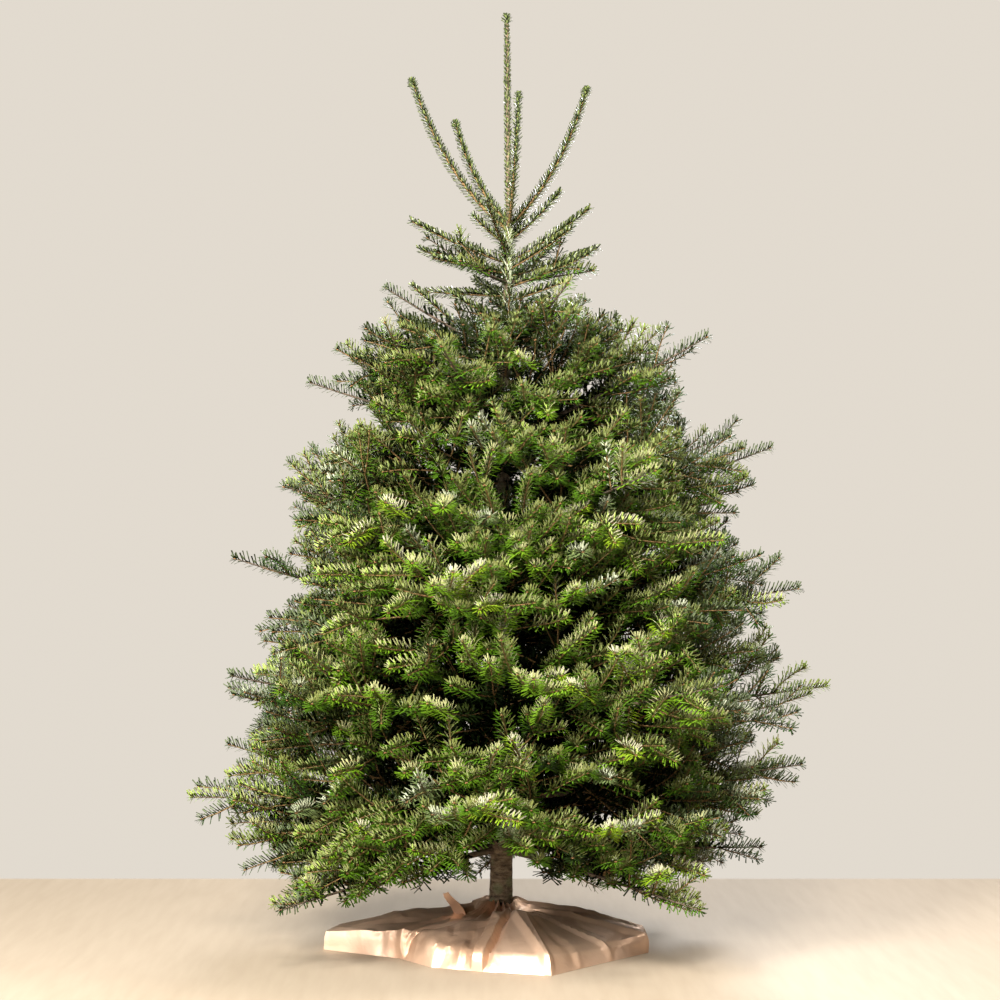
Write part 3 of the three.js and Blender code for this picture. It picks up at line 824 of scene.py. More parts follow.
# %% Line to limb, with relief
def limb_tree():
    """Line to tube, with its own radius at every point, noise that moves the wall, and bark."""
    taken = {"Sides": "Int", "Step": "Float", "Relief": "Float"}
    taken |= {"Relief Scale": "Float", "Bark": "Material"}
    tree, given, out = geometry_tree("limb_from_line", taken)
    radius = add(tree, "GeometryNodeInputNamedAttribute", {"Name": "radius"}, data_type="FLOAT")
    line = add(tree, "GeometryNodeMeshToCurve", {"Mesh": given["Geometry"]})
    fine = add(
        tree,
        "GeometryNodeResampleCurve",
        {"Curve": line.outputs["Curve"], "Length": given["Step"]},
        mode="LENGTH",
    )
    ring = add(tree, "GeometryNodeCurvePrimitiveCircle", {"Resolution": given["Sides"]})
    tube = add(
        tree,
        "GeometryNodeCurveToMesh",
        {
            "Curve": fine.outputs["Curve"],
            "Profile Curve": ring.outputs["Curve"],
            "Scale": radius.outputs["Attribute"],
            "Fill Caps": True,
        },
    )
    place = add(tree, "GeometryNodeInputPosition").outputs[0]
    squeezed = add(tree, "ShaderNodeVectorMath", {0: place, 1: (1, 1, 1.8)}, operation="MULTIPLY")
    noise = add(
        tree,
        "ShaderNodeTexNoise",
        {
            "Vector": squeezed.outputs[0],
            "Scale": given["Relief Scale"],
            "Detail": 4.0,
            "Roughness": 0.6,
        },
    )
    centred = maths(tree, "SUBTRACT", noise.outputs["Fac"], 0.5)
    height = maths(tree, "MULTIPLY", centred, given["Relief"])
    normal = add(tree, "GeometryNodeInputNormal").outputs["Normal"]
    factors = {0: normal, "Scale": height}
    move = add(tree, "ShaderNodeVectorMath", factors, operation="SCALE").outputs["Vector"]
    rough = add(
        tree, "GeometryNodeSetPosition", {"Geometry": tube.outputs["Mesh"], "Offset": move}
    )
    smooth = add(tree, "GeometryNodeSetShadeSmooth", {"Geometry": rough.outputs["Geometry"]})
    real = add(tree, "GeometryNodeRealizeInstances", {"Geometry": smooth.outputs["Geometry"]})
    bark = add(
        tree,
        "GeometryNodeSetMaterial",
        {"Geometry": real.outputs["Geometry"], "Material": given["Bark"]},
    )
    tree.links.new(bark.outputs["Geometry"], out["Geometry"])
    return tree


limb_from_line = limb_tree()
print(limb_from_line.name, "nodes", len(limb_from_line.nodes))


# %% Limbs from lines, and the trunk
def limbs(name, lines, radii, sides, step, relief, relief_scale, bark):
    """One mesh of swept limbs from lines and the radii along them."""
    source = lines_mesh(name + "_lines", lines, [("radius", radii)])
    values = {
        "Sides": sides,
        "Step": step,
        "Relief": relief,
        "Relief Scale": relief_scale,
        "Bark": bark,
    }
    made = turned_into_mesh(name, source, limb_from_line, values)
    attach(made, "root")
    print(name, "faces", len(made.data.polygons))
    return made


LEADER_STEM_TOP = 2.140
WHORL_SWELLING = 0.16
heights = np.arange(TRUNK_FOOT, LEADER_STEM_TOP, 0.004)
swellings = [(whorl["height"], 0.016) for whorl in WHORLS] + [(TOP_WHORL, 0.008)]
swelling = sum(np.exp(-(((heights - place) / size) ** 2)) for place, size in swellings)
trunk_line = np.stack([trunk_x(heights), 0 * heights, heights], 1)
trunk = limbs(
    "trunk_bark",
    [trunk_line],
    [trunk_radius(heights) * (1 + WHORL_SWELLING * swelling)],
    sides=32,
    step=0.006,
    relief=0.0034,
    relief_scale=60,
    bark=trunk_bark,
)
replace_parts(trunk, "trunk")

# %% [markdown]
# The boughs leave the trunk in whorls, with a small collar where each one joins it. They could be
# modelled one by one, but they are swept in the same way as the trunk, with fewer sides. Twigs
# are thinner than a pixel in the picture, so three or four sides do.

# %% Boughs and twigs
bough_nodes = [f"bough_{name}_{i + 1}" for name in ("skirt", "low", "wide") for i in range(5)]
foliage_nodes = [
    f"foliage_{whorl['name']}_{index + 1}" for whorl in WHORLS for index in range(whorl["boughs"])
]


def axes_of(orders):
    """Lines and radii of the grown axes of some orders."""
    lines, radii = [], []
    for points, foot, tip, order in stems:
        if order in orders:
            lines.append(points)
            radii.append(np.linspace(foot, tip, len(points)))
    return lines, radii


BOUGH_COLLAR = 1.35
lines, radii = axes_of({1})
for radius in radii:
    radius[0] *= BOUGH_COLLAR
boughs = limbs("boughs", lines, radii, 9, 0.010, 0.0011, 120, bough_bark)
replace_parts(boughs, *bough_nodes)
for name, orders, sides, step in (("branchlets", {2}, 4, 0.030), ("twigs", {3, 4}, 3, 0.035)):
    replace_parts(limbs(name, *axes_of(orders), sides, step, 0.0, 1, twig_bark), *foliage_nodes)

# %% [markdown]
# ## The top
#
# Above the last whorl stands the leader, and four shoots of the same year curve up around it. A
# straight line would look like wire, so each is a curve that is pulled towards an elbow.

# %% Leader and top shoots
TOP_ELBOW = (0.66, 0.34)
TOP_STEPS = 16
TOP_RADII = (0.0042, 0.0016)
top_lines = []
for shoot in TOP_SHOOTS:
    foot = np.array([trunk_x(shoot["foot"]), 0, shoot["foot"]])
    move = np.array([shoot["side"], shoot["back"], shoot["rise"]])
    top_lines.append(bent_line(foot, foot + move, *TOP_ELBOW, TOP_STEPS))
top_radii = [np.linspace(*TOP_RADII, len(line)) for line in top_lines]
top_stems = limbs("top_stems", top_lines, top_radii, 8, 0.010, 0.0005, 200, twig_bark)
top_nodes = [f"top_shoot_{shoot['name']}" for shoot in TOP_SHOOTS]
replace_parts(top_stems, *top_nodes)

# %% [markdown]
# ## Needles
#
# A needle of this fir is about 24 mm long and 2.3 mm wide, flat, with a keel below. A flat card
# with a picture of needles on it would be lighter, but it has no thickness from the side. Each
# needle here is a closed blade of four faces: dark ones above and pale ones below. There are a
# quarter of a million. That fills the crown, because each is a little larger than life, 30 mm by
# 4 mm, and those of the dark inner shoots, which nobody sees singly, are fewer and wider still.
#
# On a side shoot the needles stand to the left and the right and over the top, and lean forward,
# more so towards the tip. On the leader they stand all the way round.

# %% One needle
needle_mesh = mesh_of(
    "needle_blade",
    [(0, -0.30, 0.16), (0, 0.30, 0), (1, 0.36, 0.16), (0.95, -0.42, 0)],
    [(0, 2, 1), (0, 3, 2), (0, 1, 3), (1, 2, 3)],
)
bpy.context.view_layer.update()
outward = [face.normal.z > 0 for face in needle_mesh.polygons]
below = needle_mesh.attributes.new("underside", "BOOLEAN", "FACE")
below.data.foreach_set("value", [not up for up in outward])
needle = put("needle_blade", needle_mesh)
ANGLES = ("Foot Spread", "Tip Spread", "Lowest", "Highest")
SIDES = ("Upper", "Underside", "Crest Highlight")
print("needle faces", [tuple(round(v, 2) for v in face.normal) for face in needle_mesh.polygons])


# %% [markdown]
# The tree that sets the needles works with fields: one value for each needle. Some are kept on
# the points, to be read again once the needles are meshes. A needle's three materials and its
# four angles are inputs of the tree, so one tree serves all tints and all kinds of shoot.


# %% Helpers for vectors and attributes
def vector(tree, operation, first, second=(0, 0, 0)):
    """One sum with two vectors."""
    return add(tree, "ShaderNodeVectorMath", {0: first, 1: second}, operation=operation).outputs[0]


def scaled(tree, first, scale):
    """A vector made longer or shorter."""
    factors = {0: first, "Scale": scale}
    return add(tree, "ShaderNodeVectorMath", factors, operation="SCALE").outputs[0]


def stored(tree, geometry, label, value, data_type):
    """The geometry with a value kept on its points."""
    inputs = {"Geometry": geometry, "Name": label, "Value": value}
    kind = "GeometryNodeStoreNamedAttribute"
    return add(tree, kind, inputs, data_type=data_type, domain="POINT").outputs[0]


def attribute(tree, label, data_type):
    """A value that was kept."""
    kind = "GeometryNodeInputNamedAttribute"
    return add(tree, kind, {"Name": label}, data_type=data_type).outputs[0]


def between(tree, given, low, high, offset):
    """A random number for each needle."""
    seed = maths(tree, "ADD", given["Seed"], offset)
    limits = {2: low, 3: high, "Seed": seed}
    return add(tree, "FunctionNodeRandomValue", limits, data_type="FLOAT").outputs[1]


print("helpers for fields:", vector.__name__, scaled.__name__, stored.__name__, attribute.__name__)

# %% [markdown]
# A needle's direction is worked out from the shoot's own. It leans out by an angle that is wide
# at the shoot's foot and narrow at its tip. Round the shoot it stands at a height between the
# lowest and the highest row, left and right in turn. The rows are crowded towards both ends of
# that range, so the spray comes out flat with a crest along its top.


# %% Where each needle points
GOLDEN_SHARE = 0.381966  # of a turn, from one needle to the next round a shoot
LEAN_JITTER, ROW_JITTER = 0.05, 0.07  # radians to either side


def needle_rise(tree, given, number):
    """How high each needle stands round the shoot, as an angle."""
    round_it = maths(tree, "FRACT", maths(tree, "MULTIPLY", number, GOLDEN_SHARE))
    swing = maths(tree, "COSINE", maths(tree, "MULTIPLY", round_it, math.pi))
    lowest, highest = given["Lowest"], given["Highest"]
    row = ranged(tree, swing, from_min=1.0, from_max=-1.0, to_min=lowest, to_max=highest)
    return maths(tree, "ADD", row, between(tree, given, -ROW_JITTER, ROW_JITTER, 2))


def needle_turn(tree, given, forward, share, number, rise):
    """The rotation that lays a blade along its direction, with its upper side up and forward."""
    sideways = vector(tree, "CROSS_PRODUCT", (0.02, 0.01, 1.0), forward)
    sideways = vector(tree, "NORMALIZE", sideways)
    upwards = vector(tree, "CROSS_PRODUCT", forward, sideways)
    foot, tip = given["Foot Spread"], given["Tip Spread"]
    spread = ranged(tree, share, smooth=True, to_min=foot, to_max=tip)
    lean = maths(tree, "ADD", spread, between(tree, given, -LEAN_JITTER, LEAN_JITTER, 1))
    odd = maths(tree, "MODULO", number, 2.0)
    hand = maths(tree, "SUBTRACT", maths(tree, "MULTIPLY", odd, 2.0), 1.0)
    ahead = scaled(tree, forward, maths(tree, "COSINE", lean))
    across = maths(tree, "MULTIPLY", maths(tree, "COSINE", rise), hand)
    above = scaled(tree, upwards, maths(tree, "SINE", rise))
    outwards = vector(tree, "ADD", scaled(tree, sideways, across), above)
    direction = vector(tree, "ADD", ahead, scaled(tree, outwards, maths(tree, "SINE", lean)))
    facing = vector(tree, "ADD", scaled(tree, forward, 0.55), (0, 0, 0.8))
    return add(
        tree,
        "FunctionNodeAxesToRotation",
        {"Primary Axis": direction, "Secondary Axis": facing},
        primary_axis="X",
        secondary_axis="Z",
    ).outputs["Rotation"]


print("needles to a turn round a shoot", round(1 / GOLDEN_SHARE, 2))

# %% [markdown]
# The tree then puts a blade on every point of the shoots' lines, shorter ones at their tips,
# makes them real and gives them the three materials of their tint.

# %% The tree that sets needles along shoots
# The needles on top take the paler crest colour, which is a painted highlight.
CREST_HIGHLIGHT_RISE = math.radians(34)  # needles that stand higher than this are the light ones on top
SHORT_FROM, SHORTEST = 0.75, 0.72  # from this share of a shoot on they get shorter, down to that
MARKS = ("underside", "along", "crest")  # kept on the points, and taken off the finished meshes


def needle_tree():
    """Shoot lines to needles: points along each line, a direction for each one, and a blade."""
    taken = {"Needle": "Object", "Seed": "Int"}
    taken |= {label: "Float" for label in ("Spacing", "Length", "Width", *ANGLES)}
    taken |= {label: "Material" for label in SIDES}
    tree, given, out = geometry_tree("needles_on_shoots", taken)
    line = add(tree, "GeometryNodeMeshToCurve", {"Mesh": given["Geometry"]}).outputs["Curve"]
    along = add(tree, "GeometryNodeSplineParameter").outputs["Factor"]
    points = add(
        tree,
        "GeometryNodeCurveToPoints",
        {"Curve": stored(tree, line, "along", along, "FLOAT"), "Length": given["Spacing"]},
        mode="LENGTH",
    ).outputs
    share = attribute(tree, "along", "FLOAT")
    number = add(tree, "GeometryNodeInputIndex").outputs[0]
    rise = needle_rise(tree, given, number)
    turn = needle_turn(tree, given, points["Tangent"], share, number, rise)
    shorter = ranged(tree, share, from_min=SHORT_FROM, from_max=1.0, to_min=1.0, to_max=SHORTEST)
    length = maths(tree, "MULTIPLY", given["Length"], shorter)
    length = maths(tree, "MULTIPLY", length, between(tree, given, 0.84, 1.08, 4))
    width = given["Width"]
    size = add(tree, "ShaderNodeCombineXYZ", {"X": length, "Y": width, "Z": width})
    # The top rows get the paler crest material: a painted highlight.
    high = maths(tree, "GREATER_THAN", rise, CREST_HIGHLIGHT_RISE)
    blade = add(tree, "GeometryNodeObjectInfo", {"Object": given["Needle"]})
    set_out = add(
        tree,
        "GeometryNodeInstanceOnPoints",
        {
            "Points": stored(tree, points["Points"], "crest", high, "BOOLEAN"),
            "Instance": blade.outputs["Geometry"],
            "Rotation": turn,
            "Scale": size.outputs["Vector"],
        },
    )
    real = add(tree, "GeometryNodeRealizeInstances", {"Geometry": set_out.outputs["Instances"]})
    geometry = real.outputs["Geometry"]
    # Crest needles, apart from their undersides, take the painted highlight.
    below, painted_highlight = attribute(tree, "underside", "BOOLEAN"), attribute(tree, "crest", "BOOLEAN")
    light = add(tree, "FunctionNodeBooleanMath", {0: painted_highlight, 1: below}, operation="NIMPLY")
    for side, chosen in zip(SIDES, (True, below, light.outputs[0])):
        inputs = {"Geometry": geometry, "Material": given[side], "Selection": chosen}
        geometry = add(tree, "GeometryNodeSetMaterial", inputs).outputs["Geometry"]
    tree.links.new(geometry, out["Geometry"])
    return tree


needles_on_shoots = needle_tree()
print(needles_on_shoots.name, "nodes", len(needles_on_shoots.nodes))

# %% [markdown]
# A mesh of two hundred thousand triangles is as much as one piece should hold, so the needles of
# one colour are made as several pieces.

# %% Set needles on a list of shoots
TRIANGLES_PER_NEEDLE = 4
MOST_TRIANGLES = 190000
NEEDLE_LENGTH = 0.0300
NEEDLE_WIDTH = 0.0040
WIDTH = {"shade": 0.0078, "deep": 0.0046}
LYING = (76, 54, -34, 78)  # spread at the foot and at the tip, lowest and highest row, in degrees
FIRST_SEED = 17


def set_needles(name, lines, tint, spacing, angles=LYING, nodes=(), length=NEEDLE_LENGTH):
    """Needles of one tint along the lines, as pieces small enough to hand over."""
    lengths = np.array([np.linalg.norm(np.diff(line, axis=0), axis=1).sum() for line in lines])
    triangles = np.cumsum(lengths / spacing + 1) * TRIANGLES_PER_NEEDLE
    parts = int(triangles[-1] // MOST_TRIANGLES) + 1
    part_of = (triangles * parts / (triangles[-1] + 1)).astype(int)
    total = 0
    for part in range(parts):
        chosen = [line for line, owner in zip(lines, part_of) if owner == part]
        label = f"{name}_{part + 1}" if parts > 1 else name
        made = turned_into_mesh(
            label,
            lines_mesh(label + "_lines", chosen),
            needles_on_shoots,
            {
                "Needle": needle,
                "Spacing": spacing,
                "Length": length,
                "Width": WIDTH.get(tint, NEEDLE_WIDTH),
                "Seed": FIRST_SEED + part,
                **{label: math.radians(angle) for label, angle in zip(ANGLES, angles)},
                **dict(zip(SIDES, needle_finish[tint])),
            },
        )
        for mark in MARKS:
            made.data.attributes.remove(made.data.attributes[mark])
        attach(made, "root")
        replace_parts(made, *nodes)
        total += len(made.data.polygons)
    print(name, "pieces", parts, "triangles", total)
    return total


# %% [markdown]
# Which tint a shoot gets follows from its age and from what the light does in a fir, so the tints
# are partly the needles' own colour and partly painted light and shade. Its light is a number:
# more for young shoots and near the outline, less at the flanks, which turn away from the windows,
# and less near the top, where only thin shoots stand against the wall. Chance then mixes
# neighbours.

# %% A tint for every shoot
LIGHT_OF_AGE = (0.30, 0.0, -0.28)
LIGHT_SPREAD = 0.17
MOST_OUT = 1.02
OLD_AGE, OLD_INSIDE = 4, 0.5
FLANK_FROM, FLANK_WIDTH, FLANK_LOSS = 0.50, 0.35, 0.14
TOP_FROM, TOP_DEPTH, TOP_LOSS = 1.20, 0.15, 0.16
FLANK_SHADE_SHARE, SILVER_SHARE, FRESH_SHARE = 0.65, 0.35, 0.35
SUNNY_FROM, BRIGHT_FROM, LIT_FROM, LEAF_FROM, DEEP_FROM = 1.32, 1.16, 0.96, 0.70, 0.52
WAIST_LEVEL, WAIST_LEAF_FROM = 7, 1.10


def tint_of(line, age, level, rng):
    """A tint for one year's shoot, by its age, by how far out it is and by chance: partly painted
    light and shade.
    """
    middle = line.mean(axis=0)
    reach = crown_reach(middle)
    out = math.hypot(middle[0], middle[1]) / reach
    if age >= OLD_AGE or level == INNER or (age == OLD_AGE - 1 and out < OLD_INSIDE):
        return "shade"
    # The light number paints light and shade into the tint, together with the shoot's age.
    light = min(out, MOST_OUT) + LIGHT_OF_AGE[age - 1] + rng.normal(0, LIGHT_SPREAD)
    if level == WAIST_LEVEL:
        return "leaf" if light > WAIST_LEAF_FROM else "deep"
    flank = np.clip((abs(middle[0]) / reach - FLANK_FROM) / FLANK_WIDTH, 0, 1)
    near_top = np.clip((middle[2] - TOP_FROM) / TOP_DEPTH, 0, 1)
    # The flanks and the top lose painted light.
    light -= TOP_LOSS * near_top + FLANK_LOSS * flank
    # Lit flank shoots may take the darker flank tint, which is painted shade.
    if light > LEAF_FROM and rng.random() < FLANK_SHADE_SHARE * flank:
        return "cool"
    if light > SUNNY_FROM:
        return "sunny"
    if light > BRIGHT_FROM:
        return "silver" if rng.random() < SILVER_SHARE else "fresh"
    if light > LIT_FROM:
        return "fresh" if rng.random() < FRESH_SHARE else "leaf"
    if light > LEAF_FROM:
        return "leaf"
    return "deep" if light > DEEP_FROM or age == 1 else "shade"


# %% [markdown]
# The shoots are dealt out by tint, and each tint is made in one go. The darker a tint is, the
# further apart its needles may stand. The tips of young shoots are kept for their rosettes and
# buds.

# %% Needles of the crown
SPACING = dict(
    shade=0.0054, deep=0.0032, cool=0.0022, leaf=0.0020, fresh=0.0019, sunny=0.0018, silver=0.0019
)
ROSETTE = 0.0045
ROSETTE_OUT = 0.62
deal = np.random.default_rng(5)
lines_by_tint = {tint: [] for tint in TINTS}
rosettes_by_tint = {tint: [] for tint in TINTS}
buds = []
for points, age, level in shoots:
    tint = tint_of(points, age, level, deal)
    lines_by_tint[tint].append(points)
    if age == 1 and math.hypot(*points[-1][:2]) > ROSETTE_OUT * crown_reach(points[-1]):
        heading = unit(points[-1] - points[-2])
        rosettes_by_tint[tint].append(np.stack([points[-1] - heading * ROSETTE, points[-1]]))
        buds.append((points[-1], heading))
triangles = sum(
    set_needles(f"needles_{tint}", lines, tint, SPACING[tint], nodes=foliage_nodes)
    for tint, lines in lines_by_tint.items()
)

# %% [markdown]
# At the end of every shoot of the last year the needles stand all round the buds, like a small
# star. They could be part of the shoot's own row, but that row leaves out the needles below. So a
# short line at each tip gets its own, close together and all the way round.

# %% Rosettes at the tips
ROSETTE_ANGLES = (70, 34, -90, 90)
triangles += sum(
    set_needles(f"rosettes_{tint}", lines, tint, 0.0005, ROSETTE_ANGLES, foliage_nodes, 0.017)
    for tint, lines in rosettes_by_tint.items()
    if lines
)

# %% [markdown]
# The single shoots, the upper trunk, the leader and the top shoots have needles nearly all round,
# dark ones with a few pale ones among them. Each set below is one tint along some lines, with its
# own spacing, angles and length. A knob of short needles ends each top shoot.


# %% Needles of the top
def trunk_piece(lowest, highest):
    """A line up the middle of the trunk."""
    up = np.linspace(lowest, highest, 24)
    return np.stack([trunk_x(up), 0 * up, up], 1)


KNOB = 0.012
SINGLE_ANGLES = (60, 42, -70, 88)
crown_nodes = [name for name in foliage_nodes if "crown" in name]
leader_nodes = ["leader_needles"]
pale_trunk = [trunk_piece(1.38, 1.655)]
green_trunk = [trunk_piece(1.40, 1.66)]
leader_line = [trunk_piece(1.665, 2.142)]
knobs = [
    np.stack([line[-1] - unit(line[-1] - line[-2]) * KNOB, line[-1]])
    for line in top_lines + leader_line
]
TOP_NEEDLES = (
    # name, lines, tint, spacing, angles, nodes, length
    ("single_deep", single_lines, "deep", 0.0017, SINGLE_ANGLES, crown_nodes, 0.022),
    ("single_leaf", single_lines, "leaf", 0.0026, SINGLE_ANGLES, crown_nodes, 0.022),
    ("single_silver", single_lines, "silver", 0.0070, SINGLE_ANGLES, crown_nodes, 0.022),
    ("trunk_needles_silver", pale_trunk, "silver", 0.0008, (58, 50, -90, 90), crown_nodes, 0.028),
    ("trunk_needles_leaf", green_trunk, "leaf", 0.0012, (54, 46, -90, 90), crown_nodes, 0.028),
    ("leader_needles_deep", leader_line, "deep", 0.0011, (36, 32, -90, 90), leader_nodes, 0.017),
    ("leader_needles_leaf", leader_line, "leaf", 0.0030, (42, 36, -90, 90), leader_nodes, 0.018),
    ("top_needles_deep", top_lines, "deep", 0.0010, (56, 44, -90, 90), top_nodes, 0.0195),
    ("top_needles_leaf", top_lines, "leaf", 0.0026, (60, 46, -90, 90), top_nodes, 0.0205),
    ("top_knobs_deep", knobs, "deep", 0.0004, (74, 26, -90, 90), top_nodes + leader_nodes, 0.016),
    ("top_knobs_leaf", knobs, "leaf", 0.0008, (70, 20, -90, 90), top_nodes + leader_nodes, 0.016),
)
triangles += sum(set_needles(*row) for row in TOP_NEEDLES)
bpy.data.objects.remove(needle)
print("needle triangles", triangles)

# %% [markdown]
# ## Buds
#
# Each tip ends in a resinous bud with a smaller one on either side of it. They are a few
# millimetres long and light brown. A dot of colour on the twig would not catch the light as they
# do, so they are small closed spindles, turned the way each tip points.


# %% Buds on the tips
def spindle(length, radius, sides, lean):
    """Points and triangles of a bud: a foot, a ring at two fifths of its length, and a tip."""
    ring = np.linspace(0, 2 * np.pi, sides, endpoint=False)
    rim = [(0.4 * length, radius * math.cos(angle), radius * math.sin(angle)) for angle in ring]
    points = np.array([(0, 0, 0), *rim, (length, 0, 0)])
    turned = points.copy()
    turned[:, 0] = math.cos(lean) * points[:, 0] - math.sin(lean) * points[:, 1]
    turned[:, 1] = math.sin(lean) * points[:, 0] + math.cos(lean) * points[:, 1]
    faces = []
    for side in range(sides):
        after = (side + 1) % sides
        faces.append((0, 1 + after, 1 + side))
        faces.append((sides + 1, 1 + side, 1 + after))
    return turned, faces


BUD_LENGTH = 0.0072
BUD_RADIUS = 0.0018
BUD_SINK = 0.002  # how deep a bud sits on its tip
BUD_SIDES = 5
BUD_CLUSTER = ((1.0, 0.0), (0.75, 0.9), (0.75, -0.9))  # size and lean of each bud at a tip
bud_points = np.zeros((0, 3))
bud_faces = []
for share, lean in BUD_CLUSTER:
    points, faces = spindle(BUD_LENGTH * share, BUD_RADIUS * share, BUD_SIDES, lean)
    bud_faces += [tuple(corner + len(bud_points) for corner in face) for face in faces]
    bud_points = np.concatenate([bud_points, points])


def buds_mesh():
    """Every bud cluster at its tip, turned the way the tip points."""
    points, faces = [], []
    for number, (place, heading) in enumerate(buds):
        left, up = frame_of(heading)
        axes = np.stack([heading, left, up])
        points.append(place - heading * BUD_SINK + bud_points @ axes)
        faces.append(np.array(bud_faces) + number * len(bud_points))
    mesh = mesh_of("buds", np.concatenate(points), np.concatenate(faces))
    mesh.materials.append(bud_scale)
    return mesh


buds += [(line[-1], unit(line[-1] - line[-2])) for line in top_lines]
bud_piece = put("buds", buds_mesh())
bud_piece.data.shade_smooth()
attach(bud_piece, "root")
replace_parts(bud_piece, *foliage_nodes)
print("bud clusters", len(buds), "faces", len(bud_piece.data.polygons))

# %% [markdown]
# ## The wrapped stand
#
# The stand is a low frame with feet, wrapped in satin paper that is folded like a parcel: a short
# upright side all round, ridges that run up to the trunk, and a gathered collar. Towards the
# viewer the paper is slack and turns over in a wide curve. Cloth simulation would give soft round
# folds all over, which paper doesn't have. So the paper is built from straight folds between the
# corners of the frame, and every crease is a ridge or a furrow that fades out along its length.

# %% Corners of the paper
# Angle round the trunk, reach on the floor, height of the upright side, height of the fold above
# it, and how far in the paper has turned over: little where it is folded sharply, more where it
# is slack.
PAPER_CORNERS = (
    (350, 0.343, 0.040, 0.080, 0.008),
    (12, 0.350, 0.038, 0.086, 0.010),
    (46, 0.286, 0.034, 0.066, 0.020),
    (82, 0.336, 0.040, 0.084, 0.008),
    (104, 0.340, 0.040, 0.084, 0.010),
    (138, 0.282, 0.036, 0.066, 0.022),
    (168, 0.392, 0.040, 0.084, 0.010),
    (183.4, 0.405, 0.042, 0.086, 0.005),
    (208.6, 0.259, 0.062, 0.078, 0.012),
    (235.8, 0.270, 0.060, 0.082, 0.066),
    (258.7, 0.270, 0.056, 0.088, 0.060),
    (289.7, 0.330, 0.052, 0.108, 0.048),
    (322.6, 0.290, 0.040, 0.076, 0.030),
)
SIDE_SHARE_UP = 0.72  # of the upright side, where the paper begins to turn over
INSET_SHARE = 0.45  # of how far in it turns over, up to there
FOLD_SHARE = 0.4  # of the way out from the collar, where the fold runs
COLLAR = (0.062, 0.092)  # distance from the trunk's middle, and height
NECK = (0.041, 0.104)
INNER_NECK = (0.026, 0.098)
STEPS_ROUND = 34
STEPS_UP = (5, 4, 28, 18, 7, 3)
print("corners of the paper", len(PAPER_CORNERS))


def paper_grid():
    """Points of the folded paper without its creases: rows from floor to neck, columns round it."""
    rows = []
    for angle, reach, rim, fold, inset in PAPER_CORNERS:
        way = np.array([math.cos(math.radians(angle)), math.sin(math.radians(angle))])
        folded = COLLAR[0] + FOLD_SHARE * (reach - COLLAR[0])
        side = (reach - INSET_SHARE * inset, SIDE_SHARE_UP * rim)
        profile = [(reach, 0), side, (reach - inset, rim), (folded, fold), COLLAR, NECK, INNER_NECK]
        rows.append([(*(way * out), up) for out, up in profile])
    corners = np.array(rows).transpose(1, 0, 2)
    share = np.linspace(0, 1, STEPS_ROUND, endpoint=False)[:, None]
    rings = []
    for ring in corners:
        after = np.roll(ring, -1, axis=0)
        rings.append(np.concatenate([a * (1 - share) + b * share for a, b in zip(ring, after)]))
    grid = []
    for lower, upper, steps in zip(rings, rings[1:], STEPS_UP):
        for step in range(steps):
            grid.append(lower + (upper - lower) * step / steps)
    grid.append(rings[-1])
    return np.array(grid)


# %% Creases
def crease(points, start, end, width, height, flat=0.0):
    """A ridge with a sharp crest from start to end. flat widens its crest into a strip."""
    start, end = np.array(start), np.array(end)
    length = np.linalg.norm(end - start)
    way = (end - start) / length
    apart = points[..., :2] - start
    along = apart @ way / length
    across = np.abs(apart @ np.array([-way[1], way[0]]))
    profile = np.clip(1 - np.maximum(0, across - flat) / width, 0, 1)
    window = np.clip(np.minimum(along, 1 - along) * 5 + 0.5, 0, 1)
    return height * profile * window


def random_creases(points, count, middle, spread, width, height, rng):
    """Creases of random direction round a place."""
    total = np.zeros(points.shape[:2])
    for _ in range(count):
        place = np.array(middle) + rng.normal(0, spread, 2)
        way = rng.uniform(0, np.pi)
        half = rng.uniform(0.02, 0.07) * np.array([math.cos(way), math.sin(way)])
        size = rng.uniform(*height) * rng.choice([-1, 1])
        total += crease(points, place - half, place + half, rng.uniform(*width), size)
    return total


BAY = (-0.145, -0.165)
BAY_RISE, BAY_RADIUS = 0.007, 0.055
FOLDS = (
    # start, end, width, height, and how wide the crest is flat
    ((-0.050, -0.262), (0.010, -0.112), 0.005, 0.0120, 0.012),  # the strap over the front
    ((-0.030, -0.265), (0.030, -0.115), 0.010, -0.0080, 0),  # and the furrow along it
    ((0.014, -0.100), (0.112, -0.312), 0.016, 0.0100, 0),  # the front foot
    ((0.050, -0.020), (0.335, -0.062), 0.014, 0.0080, 0),  # the slopes on the right
    ((0.055, -0.070), (0.270, -0.165), 0.012, 0.0075, 0),
    ((0.060, 0.020), (0.330, 0.030), 0.014, 0.0070, 0),
    ((-0.222, -0.146), (-0.066, -0.100), 0.009, -0.0080, 0),  # a furrow above the bay
    ((-0.060, 0.000), (-0.400, 0.020), 0.024, 0.0045, 0),  # the left foot
    ((0.000, 0.070), (0.005, 0.330), 0.020, 0.0050, 0),  # the back foot
    ((-0.228, -0.126), (-0.120, -0.055), 0.014, 0.0060, 0),  # the left side of the bay
)
rng = np.random.default_rng(23)
paper = paper_grid()
bearing = np.arctan2(paper[..., 1], paper[..., 0])
out = np.hypot(paper[..., 0], paper[..., 1])
lift = random_creases(paper, 80, (0, 0), 0.18, (0.008, 0.024), (0.0014, 0.0044), rng)
lift += random_creases(paper, 12, BAY, 0.040, (0.012, 0.030), (0.002, 0.005), rng)
from_bay = (paper[..., 0] - BAY[0]) ** 2 + (paper[..., 1] - BAY[1]) ** 2
lift += BAY_RISE * np.exp(-from_bay / BAY_RADIUS**2)
for fold in FOLDS:
    lift += crease(paper, *fold)
print("folds", len(FOLDS), "and small creases", 80 + 12)

